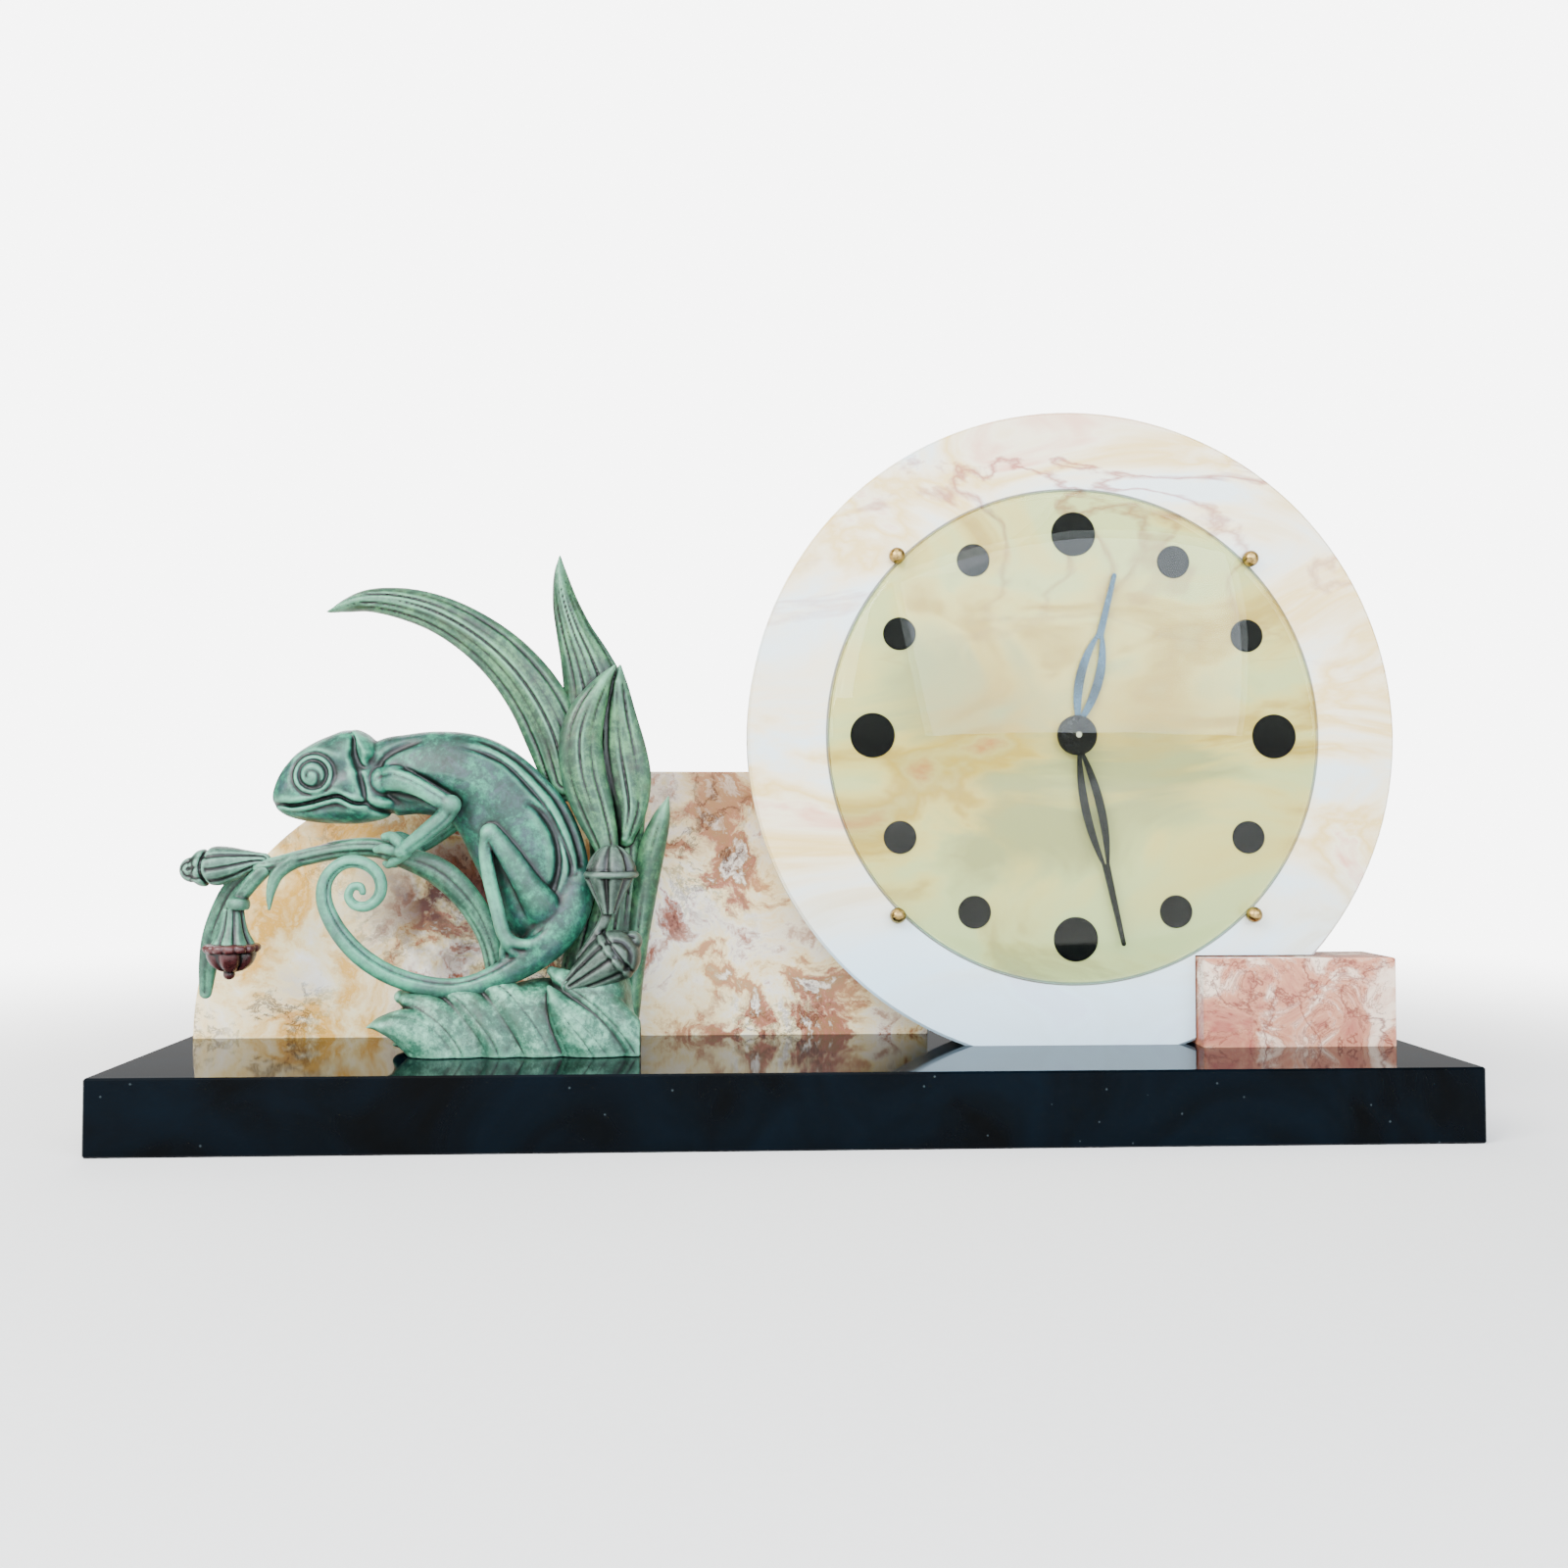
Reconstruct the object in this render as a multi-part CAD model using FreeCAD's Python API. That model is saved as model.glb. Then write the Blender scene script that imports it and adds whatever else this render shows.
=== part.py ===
# Art Deco mantel clock: a black marble base that carries a breccia marble panel, an onyx dial disc
# with a wound eight-day lever movement behind it, a small pink marble block, and a cast metal
# chameleon on a branch among leaves.
#
# Frame: X to the right, Y towards the back, Z up.  Origin at the middle of the base's underside.
# Every sub-part is one STEP file in parts/.

import FreeCAD
import Part
import math
import os

VEC = FreeCAD.Vector
UP = VEC(0, 0, 1)
BACK = VEC(0, 1, 0)

# ---------------------------------------------------------------- driving dimensions (mm)
BASE_LENGTH = 560.0
BASE_DEPTH = 130.0
BASE_HEIGHT = 31.0
BASE_BEVEL = 0.8

PANEL_LEFT = -276.0
PANEL_RIGHT = 66.0
PANEL_FRONT = 35.0
PANEL_THICK = 20.0
PANEL_TOP = 155.0
PANEL_CORNER = 122.0
STONE_BEVEL = 0.6

DIAL_X = 127.5
DIAL_Z = 170.0
DISC_RADIUS = 147.7
DISC_FRONT = -2.0
DISC_THICK = 22.0
RECESS_RADIUS = 46.0
RECESS_DEPTH = 12.0
DIAL_HOLE = 4.0

BLOCK_LEFT = 182.6
BLOCK_RIGHT = 270.0
BLOCK_TOP = 70.4
BLOCK_FRONT = -11.3
STONE_JOINT = 0.6

DOT_RING = 91.4
LARGE_DOT = 10.0
SMALL_DOT = 7.4
DOT_SINK = 2.2
DOT_PROUD = 0.8

GLASS_RADIUS = 111.8
GLASS_THICK = 2.4
GLASS_RISE = 20.0
GLASS_EDGE = 1.6
STUD_RING = 114.0
STUD_HEAD = 3.6
STUD_SHANK = 1.2
STUD_CLEAR = 0.7

ROD_RADIUS = 2.5
ROD_DEPTH = 22.0
NUT_FLATS = 8.0
NUT_HEIGHT = 4.0
WASHER_RADIUS = 7.0
WASHER_THICK = 1.0
COUNTERBORE_RADIUS = 9.0
COUNTERBORE_DEPTH = 12.0

MINUTE_HAND_ANGLE = 167.5
HOUR_HAND_ANGLE = 14.0

# Movement, measured from the dial centre.
PLATE_THICK = 2.0
FRONT_PLATE_RADIUS = 61.0
BACK_PLATE_RADIUS = 52.0
PLATE_GAP = 18.0
PILLAR_RING = 47.5
PILLAR_RADIUS = 2.6
COVER_RADIUS = 54.0
COVER_WALL = 1.0
COVER_LENGTH = 28.0
COVER_SCREW_RING = 57.5
SCREW_SHANK = 1.5
SCREW_LENGTH = 8.0
SCREW_HEAD = 2.7
SCREW_HEAD_THICK = 1.8
PIVOT_GAP = 0.05

CENTRE_ARBOR = 1.2
CENTRE_PIPE = 2.0
CANNON_PIPE = 1.9
HOUR_PIPE = 2.9
ARBOR = 1.2
PIVOT = 0.8
MOTION_DISTANCE = 12.0

DISC_BACK = DISC_FRONT + DISC_THICK
FRONT_PLATE_Y = DISC_BACK
INNER_Y = FRONT_PLATE_Y + PLATE_THICK
BACK_PLATE_Y = INNER_Y + PLATE_GAP
OUTER_Y = BACK_PLATE_Y + PLATE_THICK
COVER_BACK = INNER_Y + COVER_LENGTH + COVER_WALL

# Wheel positions as (distance, direction in degrees) steps from the axis named before them.


def step(start, distance, degrees):
    turn = math.radians(degrees)
    return (start[0] + distance * math.cos(turn), start[1] + distance * math.sin(turn))


def pitch_distance(module, teeth, leaves):
    return module * (teeth + leaves) / 2.0


GREAT = {"module": 0.6, "teeth": 78, "leaves": 12}
INTER = {"module": 0.6, "teeth": 64, "leaves": 16}
CENTRE = {"module": 0.5, "teeth": 80, "leaves": 10}
THIRD = {"module": 0.45, "teeth": 75, "leaves": 10}
FOURTH = {"module": 0.4, "teeth": 70, "leaves": 7}
MINUTE = {"module": 0.5, "teeth": 36, "leaves": 12}
HOUR = {"module": 0.48, "teeth": 40, "leaves": 10}

GREAT_GAP = pitch_distance(**GREAT)
INTER_GAP = pitch_distance(**INTER)
CENTRE_GAP = pitch_distance(**CENTRE)
THIRD_GAP = pitch_distance(**THIRD)
FOURTH_GAP = pitch_distance(**FOURTH)

AT_CENTRE = (DIAL_X, DIAL_Z)
AT_BARREL = step(AT_CENTRE, 27.0, 225.0)
INTER_TURN = math.degrees(math.acos(INTER_GAP / 2.0 / GREAT_GAP))
AT_INTER = step(AT_CENTRE, INTER_GAP, 225.0 + INTER_TURN)
AT_THIRD = step(AT_CENTRE, CENTRE_GAP, 0.0)
AT_FOURTH = step(AT_THIRD, THIRD_GAP, 110.0)
AT_ESCAPE = step(AT_FOURTH, FOURTH_GAP, 160.0)
AT_PALLET = step(AT_ESCAPE, 12.0, 170.0)
AT_BALANCE = step(AT_PALLET, 12.0, 190.0)
AT_CLICK = step(AT_BARREL, 14.5, 180.0)
AT_MINUTE = step(AT_CENTRE, MOTION_DISTANCE, 60.0)


# ---------------------------------------------------------------- shape helpers
def cylinder(radius, y_front, y_back, at):
    return Part.makeCylinder(radius, y_back - y_front, VEC(at[0], y_front, at[1]), BACK)


def box(x_low, x_high, y_low, y_high, z_low, z_high):
    return Part.makeBox(x_high - x_low, y_high - y_low, z_high - z_low, VEC(x_low, y_low, z_low))


def upright_cylinder(radius, x, y, z_low, z_high):
    return Part.makeCylinder(radius, z_high - z_low, VEC(x, y, z_low), UP)


def extrude(wire, y_front, y_back):
    face = Part.Face(wire)
    solid = face.extrude(VEC(0, y_back - y_front, 0))
    return Part.Solid(solid.Shells[0]) if solid.Solids == [] else solid.Solids[0]


def flat_point(point, y):
    return VEC(point[0], y, point[1])


def polygon(points, y_front, y_back):
    corners = [flat_point(point, y_front) for point in points]
    return extrude(Part.makePolygon(corners + corners[:1]), y_front, y_back)


def smooth_loop(points, y_front, y_back):
    # A plate whose outline is one closed smooth curve through the points.
    curve = Part.BSplineCurve()
    curve.interpolate(Points=[flat_point(point, y_front) for point in points], PeriodicFlag=True)
    return extrude(Part.Wire([curve.toShape()]), y_front, y_back)


def smooth_path(points, y):
    curve = Part.BSplineCurve()
    curve.interpolate([flat_point(point, y) for point in points])
    return curve


def ribbon(stations, y_front, y_back, samples=14):
    # A plate that follows a smooth centre line; a station is (x, z, width).
    centre = smooth_path([(x, z) for x, z, width in stations], y_front)
    widths = [width for x, z, width in stations]
    lengths = [centre.parameter(VEC(x, y_front, z)) for x, z, width in stations]
    left = []
    right = []
    for index in range(samples + 1):
        at = lengths[0] + (lengths[-1] - lengths[0]) * index / samples
        span = max(k for k in range(len(lengths) - 1) if at >= lengths[k] - 1e-9 or k == 0)
        share = (at - lengths[span]) / (lengths[span + 1] - lengths[span])
        half = (widths[span] + (widths[span + 1] - widths[span]) * share) / 2.0
        point = centre.value(at)
        along = centre.tangent(at)[0]
        across = VEC(-along.z, 0, along.x)
        left.append(point + across * half)
        right.append(point - across * half)
    sides = []
    for row in (left, right[::-1]):
        curve = Part.BSplineCurve()
        curve.interpolate(row)
        sides.append(curve.toShape())
    edges = [sides[0]]
    if (left[-1] - right[-1]).Length > 0.05:
        edges.append(Part.LineSegment(left[-1], right[-1]).toShape())
    edges.append(sides[1])
    edges.append(Part.LineSegment(right[0], left[0]).toShape())
    return extrude(Part.Wire(Part.__sortEdges__(edges)), y_front, y_back)


def ring(outer, inner, y_front, y_back, at):
    return cylinder(outer, y_front, y_back, at).cut(cylinder(inner, y_front - 1, y_back + 1, at))


def direction(start, end):
    return math.atan2(end[1] - start[1], end[0] - start[0])


# Tooth half-widths at root, pitch circle and tip, and tooth heights, all in modules.
WHEEL_TOOTH = {"root": 0.58, "pitch": 0.45, "tip": 0.16, "above": 0.8, "below": 1.2}
LEAF_TOOTH = {"root": 0.36, "pitch": 0.38, "tip": 0.18, "above": 0.65, "below": 1.15}


def toothed(teeth, module, shape, phase, y_front, y_back, at):
    # One tooth is centred on the phase direction, in radians from +X towards +Z.
    pitch_radius = teeth * module / 2.0
    rows = (
        (pitch_radius - shape["below"] * module, -shape["root"]),
        (pitch_radius, -shape["pitch"]),
        (pitch_radius + shape["above"] * module, -shape["tip"]),
        (pitch_radius + shape["above"] * module, shape["tip"]),
        (pitch_radius, shape["pitch"]),
        (pitch_radius - shape["below"] * module, shape["root"]),
    )
    points = []
    for tooth in range(teeth):
        turn = phase + 2.0 * math.pi * tooth / teeth
        for radius, half in rows:
            angle = turn + half * module / radius
            points.append((at[0] + radius * math.cos(angle), at[1] + radius * math.sin(angle)))
    return polygon(points, y_front, y_back)


def wheel(gear, at, towards, y_front, y_back):
    phase = direction(at, towards)
    return toothed(gear["teeth"], gear["module"], WHEEL_TOOTH, phase, y_front, y_back, at)


def pinion(gear, at, wheel_at, y_front, y_back):
    # A gap between two leaves faces the wheel.
    phase = direction(at, wheel_at) + math.pi / gear["leaves"]
    return toothed(gear["leaves"], gear["module"], LEAF_TOOTH, phase, y_front, y_back, at)


def crossed(disc, at, hub, rim, spokes, y_front, y_back):
    # Round windows between the hub and the rim leave the wheel's arms.
    middle = (hub + rim) / 2.0
    window = min((rim - hub) / 2.0 - 0.8, middle * math.sin(math.pi / spokes) - 0.7)
    for index in range(spokes):
        spot = step(at, middle, 360.0 * index / spokes + 45.0)
        disc = disc.cut(cylinder(window, y_front - 1, y_back + 1, spot))
    return disc


def spiral_strip(at, inner, outer, turns, thick, y_front, y_back, per_turn=16):
    # A flat spiral spring: two smooth spiral edges a strip's thickness apart.
    count = int(turns * per_turn)
    edges = []
    ends = []
    for offset in (0.0, thick):
        row = []
        for index in range(count + 1):
            angle = 2.0 * math.pi * index / per_turn
            radius = inner + (outer - thick - inner) * index / count + offset
            row.append(VEC(at[0] + radius * math.cos(angle), y_front, at[1] + radius * math.sin(angle)))
        curve = Part.BSplineCurve()
        curve.interpolate(row)
        edges.append(curve.toShape())
        ends.append((row[0], row[-1]))
    edges.append(Part.LineSegment(ends[0][0], ends[1][0]).toShape())
    edges.append(Part.LineSegment(ends[0][1], ends[1][1]).toShape())
    return extrude(Part.Wire(Part.__sortEdges__(edges)), y_front, y_back)


def fuse(first, *others):
    joined = first
    for other in others:
        joined = joined.fuse(other)
    return joined.removeSplitter()


def cut(body, *tools):
    for tool in tools:
        body = body.cut(tool)
    return body


def group(solids):
    return Part.makeCompound(list(solids))


# ---------------------------------------------------------------- fixings under the base
DISC_RODS = ((100.0, 9.0), (155.0, 9.0))
PANEL_RODS = ((-230.0, 45.0), (-105.0, 45.0), (20.0, 45.0))
BLOCK_RODS = ((226.0, 4.0),)
CASTING_RODS = ((-150.0, 0.0), (-92.0, 0.0))
ROD_SPOTS = DISC_RODS + PANEL_RODS + BLOCK_RODS + CASTING_RODS
ROD_BOTTOM = COUNTERBORE_DEPTH - WASHER_THICK - NUT_HEIGHT - 1.5


def threaded_rods():
    top = BASE_HEIGHT + ROD_DEPTH
    return [upright_cylinder(ROD_RADIUS, x, y, ROD_BOTTOM, top) for x, y in ROD_SPOTS]


def rod_washers():
    low = COUNTERBORE_DEPTH - WASHER_THICK
    rings = []
    for x, y in ROD_SPOTS:
        disc = upright_cylinder(WASHER_RADIUS, x, y, low, COUNTERBORE_DEPTH)
        rings.append(disc.cut(upright_cylinder(ROD_RADIUS, x, y, 0, BASE_HEIGHT)))
    return rings


def rod_nuts():
    high = COUNTERBORE_DEPTH - WASHER_THICK
    low = high - NUT_HEIGHT
    nuts = []
    corner = NUT_FLATS / 2.0 / math.cos(math.pi / 6)
    for x, y in ROD_SPOTS:
        corners = []
        for side in range(6):
            turn = math.radians(60.0 * side)
            corners.append(VEC(x + corner * math.cos(turn), y + corner * math.sin(turn), low))
        hexagon = Part.Face(Part.makePolygon(corners + corners[:1])).extrude(VEC(0, 0, high - low))
        nuts.append(hexagon.cut(upright_cylinder(ROD_RADIUS, x, y, 0, BASE_HEIGHT)))
    return nuts


RODS = threaded_rods()


# ---------------------------------------------------------------- stones
def base_slab():
    half_x = BASE_LENGTH / 2.0
    half_y = BASE_DEPTH / 2.0
    slab = box(-half_x, half_x, -half_y, half_y, 0, BASE_HEIGHT)
    slab = slab.makeChamfer(BASE_BEVEL, slab.Edges)
    for x, y in ROD_SPOTS:
        slab = slab.cut(upright_cylinder(COUNTERBORE_RADIUS, x, y, -1, COUNTERBORE_DEPTH))
        slab = slab.cut(upright_cylinder(ROD_RADIUS, x, y, 0, BASE_HEIGHT + 1))
    return slab


def back_panel():
    y = PANEL_FRONT
    centre_x = PANEL_LEFT + PANEL_CORNER
    centre_z = PANEL_TOP - PANEL_CORNER
    slant = PANEL_CORNER * math.sqrt(0.5)
    foot_left = VEC(PANEL_LEFT, y, BASE_HEIGHT)
    arc_start = VEC(PANEL_LEFT, y, centre_z)
    arc_middle = VEC(centre_x - slant, y, centre_z + slant)
    arc_end = VEC(centre_x, y, PANEL_TOP)
    top_right = VEC(PANEL_RIGHT, y, PANEL_TOP)
    foot_right = VEC(PANEL_RIGHT, y, BASE_HEIGHT)
    edges = [
        Part.LineSegment(foot_left, arc_start).toShape(),
        Part.Arc(arc_start, arc_middle, arc_end).toShape(),
        Part.LineSegment(arc_end, top_right).toShape(),
        Part.LineSegment(top_right, foot_right).toShape(),
        Part.LineSegment(foot_right, foot_left).toShape(),
    ]
    panel = extrude(Part.Wire(edges), y, y + PANEL_THICK)
    faces_front = [e for e in panel.Edges if e.BoundBox.YMax < y + 0.01]
    front_edges = [e for e in faces_front if e.BoundBox.ZMax > BASE_HEIGHT + 1]
    panel = panel.makeChamfer(STONE_BEVEL, front_edges)
    return cut(panel, *RODS)


def dot_places():
    places = []
    for hour in range(1, 13):
        spot = step(AT_CENTRE, DOT_RING, 90.0 - 30.0 * hour)
        radius = LARGE_DOT if hour % 3 == 0 else SMALL_DOT
        places.append((hour, spot, radius))
    return places


def stud_places():
    return [step(AT_CENTRE, STUD_RING, 45.0 + 90.0 * index) for index in range(4)]


def cover_screw_places():
    return [step(AT_CENTRE, COVER_SCREW_RING, 45.0 + 90.0 * index) for index in range(4)]


def pillar_places():
    return [step(AT_CENTRE, PILLAR_RING, 90.0 * index) for index in range(4)]


def clock_disc():
    disc = cylinder(DISC_RADIUS, DISC_FRONT, DISC_BACK, AT_CENTRE)
    rim = [e for e in disc.Edges if abs(e.BoundBox.YLength) < 0.01 and e.BoundBox.ZLength > DISC_RADIUS]
    disc = disc.makeChamfer(STONE_BEVEL * 2, rim)
    far = DISC_RADIUS * 2
    disc = disc.cut(box(-far, far * 2, -far, far, -far, BASE_HEIGHT))
    notch_x = BLOCK_LEFT - STONE_JOINT
    notch_z = BLOCK_TOP + STONE_JOINT
    disc = disc.cut(box(notch_x, far * 2, -far, far, 0, notch_z))
    disc = disc.cut(cylinder(RECESS_RADIUS, DISC_BACK - RECESS_DEPTH, DISC_BACK + 1, AT_CENTRE))
    disc = disc.cut(cylinder(DIAL_HOLE, DISC_FRONT - 1, DISC_BACK, AT_CENTRE))
    for hour, spot, radius in dot_places():
        disc = disc.cut(cylinder(radius, DISC_FRONT - 1, DISC_FRONT + DOT_SINK, spot))
    for spot in stud_places():
        disc = disc.cut(cylinder(STUD_SHANK, DISC_FRONT - 1, DISC_FRONT + 8, spot))
    for spot in cover_screw_places():
        disc = disc.cut(cylinder(SCREW_SHANK, DISC_BACK - SCREW_LENGTH, DISC_BACK + 1, spot))
    return cut(disc, *RODS)


def side_block():
    block = box(BLOCK_LEFT, BLOCK_RIGHT, BLOCK_FRONT, DISC_BACK, BASE_HEIGHT, BLOCK_TOP)
    edges = [e for e in block.Edges if e.BoundBox.ZMax > BASE_HEIGHT + 1]
    return cut(block.makeChamfer(STONE_BEVEL, edges), *RODS)


def hour_dot(spot, radius):
    dot = cylinder(radius, DISC_FRONT - DOT_PROUD, DISC_FRONT + DOT_SINK, spot)
    front = [e for e in dot.Edges if e.BoundBox.YMax < DISC_FRONT - DOT_PROUD + 0.01]
    return dot.makeFillet(DOT_PROUD * 0.7, front)


# ---------------------------------------------------------------- glass and its studs
def glass_profile_point(radius, y):
    return VEC(DIAL_X + radius, y, DIAL_Z)


def sag(radius, rim_radius, rise):
    # Height of a spherical cap above its rim, at a distance from its axis.
    sphere = (rim_radius ** 2 + rise ** 2) / (2.0 * rise)
    return math.sqrt(sphere ** 2 - radius ** 2) - (sphere - rise)


def dial_glass():
    foot = DISC_FRONT
    edge_front = foot - GLASS_EDGE
    inner_rim = GLASS_RADIUS - 3.0
    middle = GLASS_RADIUS * 0.6
    outer_rise = GLASS_RISE + GLASS_THICK - GLASS_EDGE
    inner_top = glass_profile_point(0, foot - GLASS_RISE)
    outer_top = glass_profile_point(0, edge_front - outer_rise)
    inner_middle = glass_profile_point(middle, foot - sag(middle, inner_rim, GLASS_RISE))
    outer_middle = glass_profile_point(middle, edge_front - sag(middle, GLASS_RADIUS, outer_rise))
    inner_foot = glass_profile_point(inner_rim, foot)
    outer_foot = glass_profile_point(GLASS_RADIUS, foot)
    outer_edge = glass_profile_point(GLASS_RADIUS, edge_front)
    edges = [
        Part.Arc(inner_top, inner_middle, inner_foot).toShape(),
        Part.LineSegment(inner_foot, outer_foot).toShape(),
        Part.LineSegment(outer_foot, outer_edge).toShape(),
        Part.Arc(outer_edge, outer_middle, outer_top).toShape(),
        Part.LineSegment(outer_top, inner_top).toShape(),
    ]
    face = Part.Face(Part.Wire(edges))
    return face.revolve(VEC(DIAL_X, 0, DIAL_Z), BACK, 360)


def glass_stud(spot):
    # A shank in the stone and a domed head that laps over the glass's edge.
    head_back = DISC_FRONT - GLASS_EDGE - STUD_CLEAR
    shank = cylinder(STUD_SHANK, head_back - 0.5, DISC_FRONT + 7, spot)
    collar = cylinder(STUD_HEAD, head_back - 1.0, head_back, spot)
    dome = Part.makeSphere(STUD_HEAD, VEC(spot[0], head_back - 1.0, spot[1]))
    keep = cylinder(STUD_HEAD + 1, head_back - 2 * STUD_HEAD, head_back - 1.0, spot)
    return fuse(shank, collar, dome.common(keep))


# ---------------------------------------------------------------- hands
def leaf_outline(low, high, width):
    middle = (low + high) / 2.0
    foot = VEC(0, 0, low)
    tip = VEC(0, 0, high)
    left = Part.Arc(foot, VEC(-width / 2.0, 0, middle), tip).toShape()
    right = Part.Arc(tip, VEC(width / 2.0, 0, middle), foot).toShape()
    return Part.Wire([left, right])


def hand(length, blade_end, blade_width, rim, needle, bore, y_front, thick, degrees):
    # Boss, open leaf blade and needle, built pointing to twelve, then turned to the shown time.
    boss_radius = 5.0
    blade_start = boss_radius - 1.0
    slot_start = boss_radius + 4.5
    blade = extrude(leaf_outline(blade_start, blade_end, blade_width), 0, thick)
    slot = extrude(leaf_outline(slot_start, blade_end - 2.5, blade_width - 2.0 * rim), -1, thick + 1)
    boss = cylinder(boss_radius, 0, thick, (0, 0))
    half = needle / 2.0
    tip_z = length - half
    root_z = blade_end - 5.0
    root = half + 0.7
    stem = polygon([(-root, root_z), (root, root_z), (half, tip_z), (-half, tip_z)], 0, thick)
    tip = cylinder(half, 0, thick, (0, tip_z))
    shape = fuse(blade.cut(slot), boss, stem, tip)
    shape = shape.cut(cylinder(bore, -1, thick + 1, (0, 0)))
    shape.rotate(VEC(0, 0, 0), BACK, degrees)
    shape.translate(VEC(DIAL_X, y_front, DIAL_Z))
    return shape


HOUR_HAND_Y = -4.5
HAND_THICK = 0.8
MINUTE_HAND_Y = -6.2
CAP_RADIUS = 9.0
CAP_HEIGHT = 4.2


def hour_hand():
    return hand(75.6, 50.0, 12.5, 4.1, 2.1, HOUR_PIPE, HOUR_HAND_Y, HAND_THICK, HOUR_HAND_ANGLE)


def minute_hand():
    return hand(96.5, 64.0, 10.6, 3.7, 2.0, CENTRE_ARBOR, MINUTE_HAND_Y, HAND_THICK, MINUTE_HAND_ANGLE)


def hand_cap():
    back = MINUTE_HAND_Y
    skirt = cylinder(CAP_RADIUS, back - 1.4, back, AT_CENTRE)
    sphere_radius = (CAP_RADIUS ** 2 + (CAP_HEIGHT - 1.4) ** 2) / (2.0 * (CAP_HEIGHT - 1.4))
    dome = Part.makeSphere(sphere_radius, VEC(DIAL_X, back - CAP_HEIGHT + sphere_radius, DIAL_Z))
    dome = dome.common(cylinder(CAP_RADIUS, back - CAP_HEIGHT - 1, back - 1.4, AT_CENTRE))
    cap = fuse(skirt, dome)
    return cap.cut(cylinder(CENTRE_ARBOR, back - 2.0, back + 1, AT_CENTRE))


# ---------------------------------------------------------------- motion work in the disc's recess
CANNON_FRONT = 15.5
CANNON_BACK = 18.5
MINUTE_WHEEL_FRONT = 16.3
MINUTE_WHEEL_BACK = 17.5
HOUR_WHEEL_FRONT = 12.0
HOUR_WHEEL_BACK = 13.5
MOTION_STUD = 0.9


def centre_arbor():
    # The hands' arbor: front seat for the minute hand, rear end for the setting knob.
    return cylinder(CENTRE_ARBOR, MINUTE_HAND_Y - 1.8, COVER_BACK + 7.0, AT_CENTRE)


def cannon_pinion():
    leaves = pinion(MINUTE, AT_CENTRE, AT_MINUTE, CANNON_FRONT, CANNON_BACK)
    pipe = cylinder(CANNON_PIPE, MINUTE_HAND_Y + HAND_THICK, CANNON_BACK, AT_CENTRE)
    return fuse(leaves, pipe).cut(cylinder(CENTRE_ARBOR, -50, 50, AT_CENTRE))


def minute_wheel():
    plate = wheel(MINUTE, AT_MINUTE, AT_CENTRE, MINUTE_WHEEL_FRONT, MINUTE_WHEEL_BACK)
    leaves = pinion(HOUR, AT_MINUTE, AT_CENTRE, HOUR_WHEEL_FRONT - 0.4, MINUTE_WHEEL_FRONT)
    return fuse(plate, leaves).cut(cylinder(MOTION_STUD + PIVOT_GAP, 0, 30, AT_MINUTE))


def hour_wheel():
    plate = wheel(HOUR, AT_CENTRE, AT_MINUTE, HOUR_WHEEL_FRONT, HOUR_WHEEL_BACK)
    pipe = cylinder(HOUR_PIPE, HOUR_HAND_Y, HOUR_WHEEL_BACK, AT_CENTRE)
    return fuse(plate, pipe).cut(cylinder(CANNON_PIPE + PIVOT_GAP, -50, 50, AT_CENTRE))


# ---------------------------------------------------------------- plates and cover
BARREL_PIVOT = 2.0
BACK_PIVOT_HOLES = (AT_INTER, AT_THIRD, AT_FOURTH, AT_ESCAPE, AT_PALLET)
STAFF_PASSAGE = 4.0
COCK_FOOT = step(AT_BALANCE, 15.0, 165.0)
CLICK_PIN = 1.0


def front_plate():
    plate = cylinder(FRONT_PLATE_RADIUS, FRONT_PLATE_Y, INNER_Y, AT_CENTRE)
    plate = plate.cut(cylinder(CENTRE_PIPE + PIVOT_GAP, 0, 60, AT_CENTRE))
    plate = plate.cut(cylinder(BARREL_PIVOT + PIVOT_GAP, 0, 60, AT_BARREL))
    for spot in BACK_PIVOT_HOLES + (AT_BALANCE,):
        plate = plate.cut(cylinder(PIVOT + PIVOT_GAP, 0, 60, spot))
    for spot in cover_screw_places():
        plate = plate.cut(cylinder(SCREW_SHANK, 0, 60, spot))
    stud = cylinder(MOTION_STUD, HOUR_WHEEL_FRONT - 0.8, FRONT_PLATE_Y, AT_MINUTE)
    return fuse(plate, stud)


def back_plate():
    plate = cylinder(BACK_PLATE_RADIUS, BACK_PLATE_Y, OUTER_Y, AT_CENTRE)
    plate = plate.cut(cylinder(CENTRE_PIPE + PIVOT_GAP, 0, 60, AT_CENTRE))
    plate = plate.cut(cylinder(BARREL_PIVOT + PIVOT_GAP, 0, 60, AT_BARREL))
    plate = plate.cut(cylinder(STAFF_PASSAGE, 0, 60, AT_BALANCE))
    for spot in BACK_PIVOT_HOLES:
        plate = plate.cut(cylinder(PIVOT + PIVOT_GAP, 0, 60, spot))
    for spot in pillar_places():
        plate = plate.cut(cylinder(SCREW_SHANK, 0, 60, spot))
    click_post = cylinder(CLICK_PIN, OUTER_Y, OUTER_Y + 3.0, AT_CLICK)
    return fuse(plate, click_post)


def pillar(spot):
    post = cylinder(PILLAR_RADIUS, INNER_Y, BACK_PLATE_Y, spot)
    waist = ring(PILLAR_RADIUS + 1, PILLAR_RADIUS - 0.4, INNER_Y + 3, BACK_PLATE_Y - 3, spot)
    bore = cylinder(SCREW_SHANK, OUTER_Y - SCREW_LENGTH, BACK_PLATE_Y + 1, spot)
    return cut(post, waist, bore)


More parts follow.
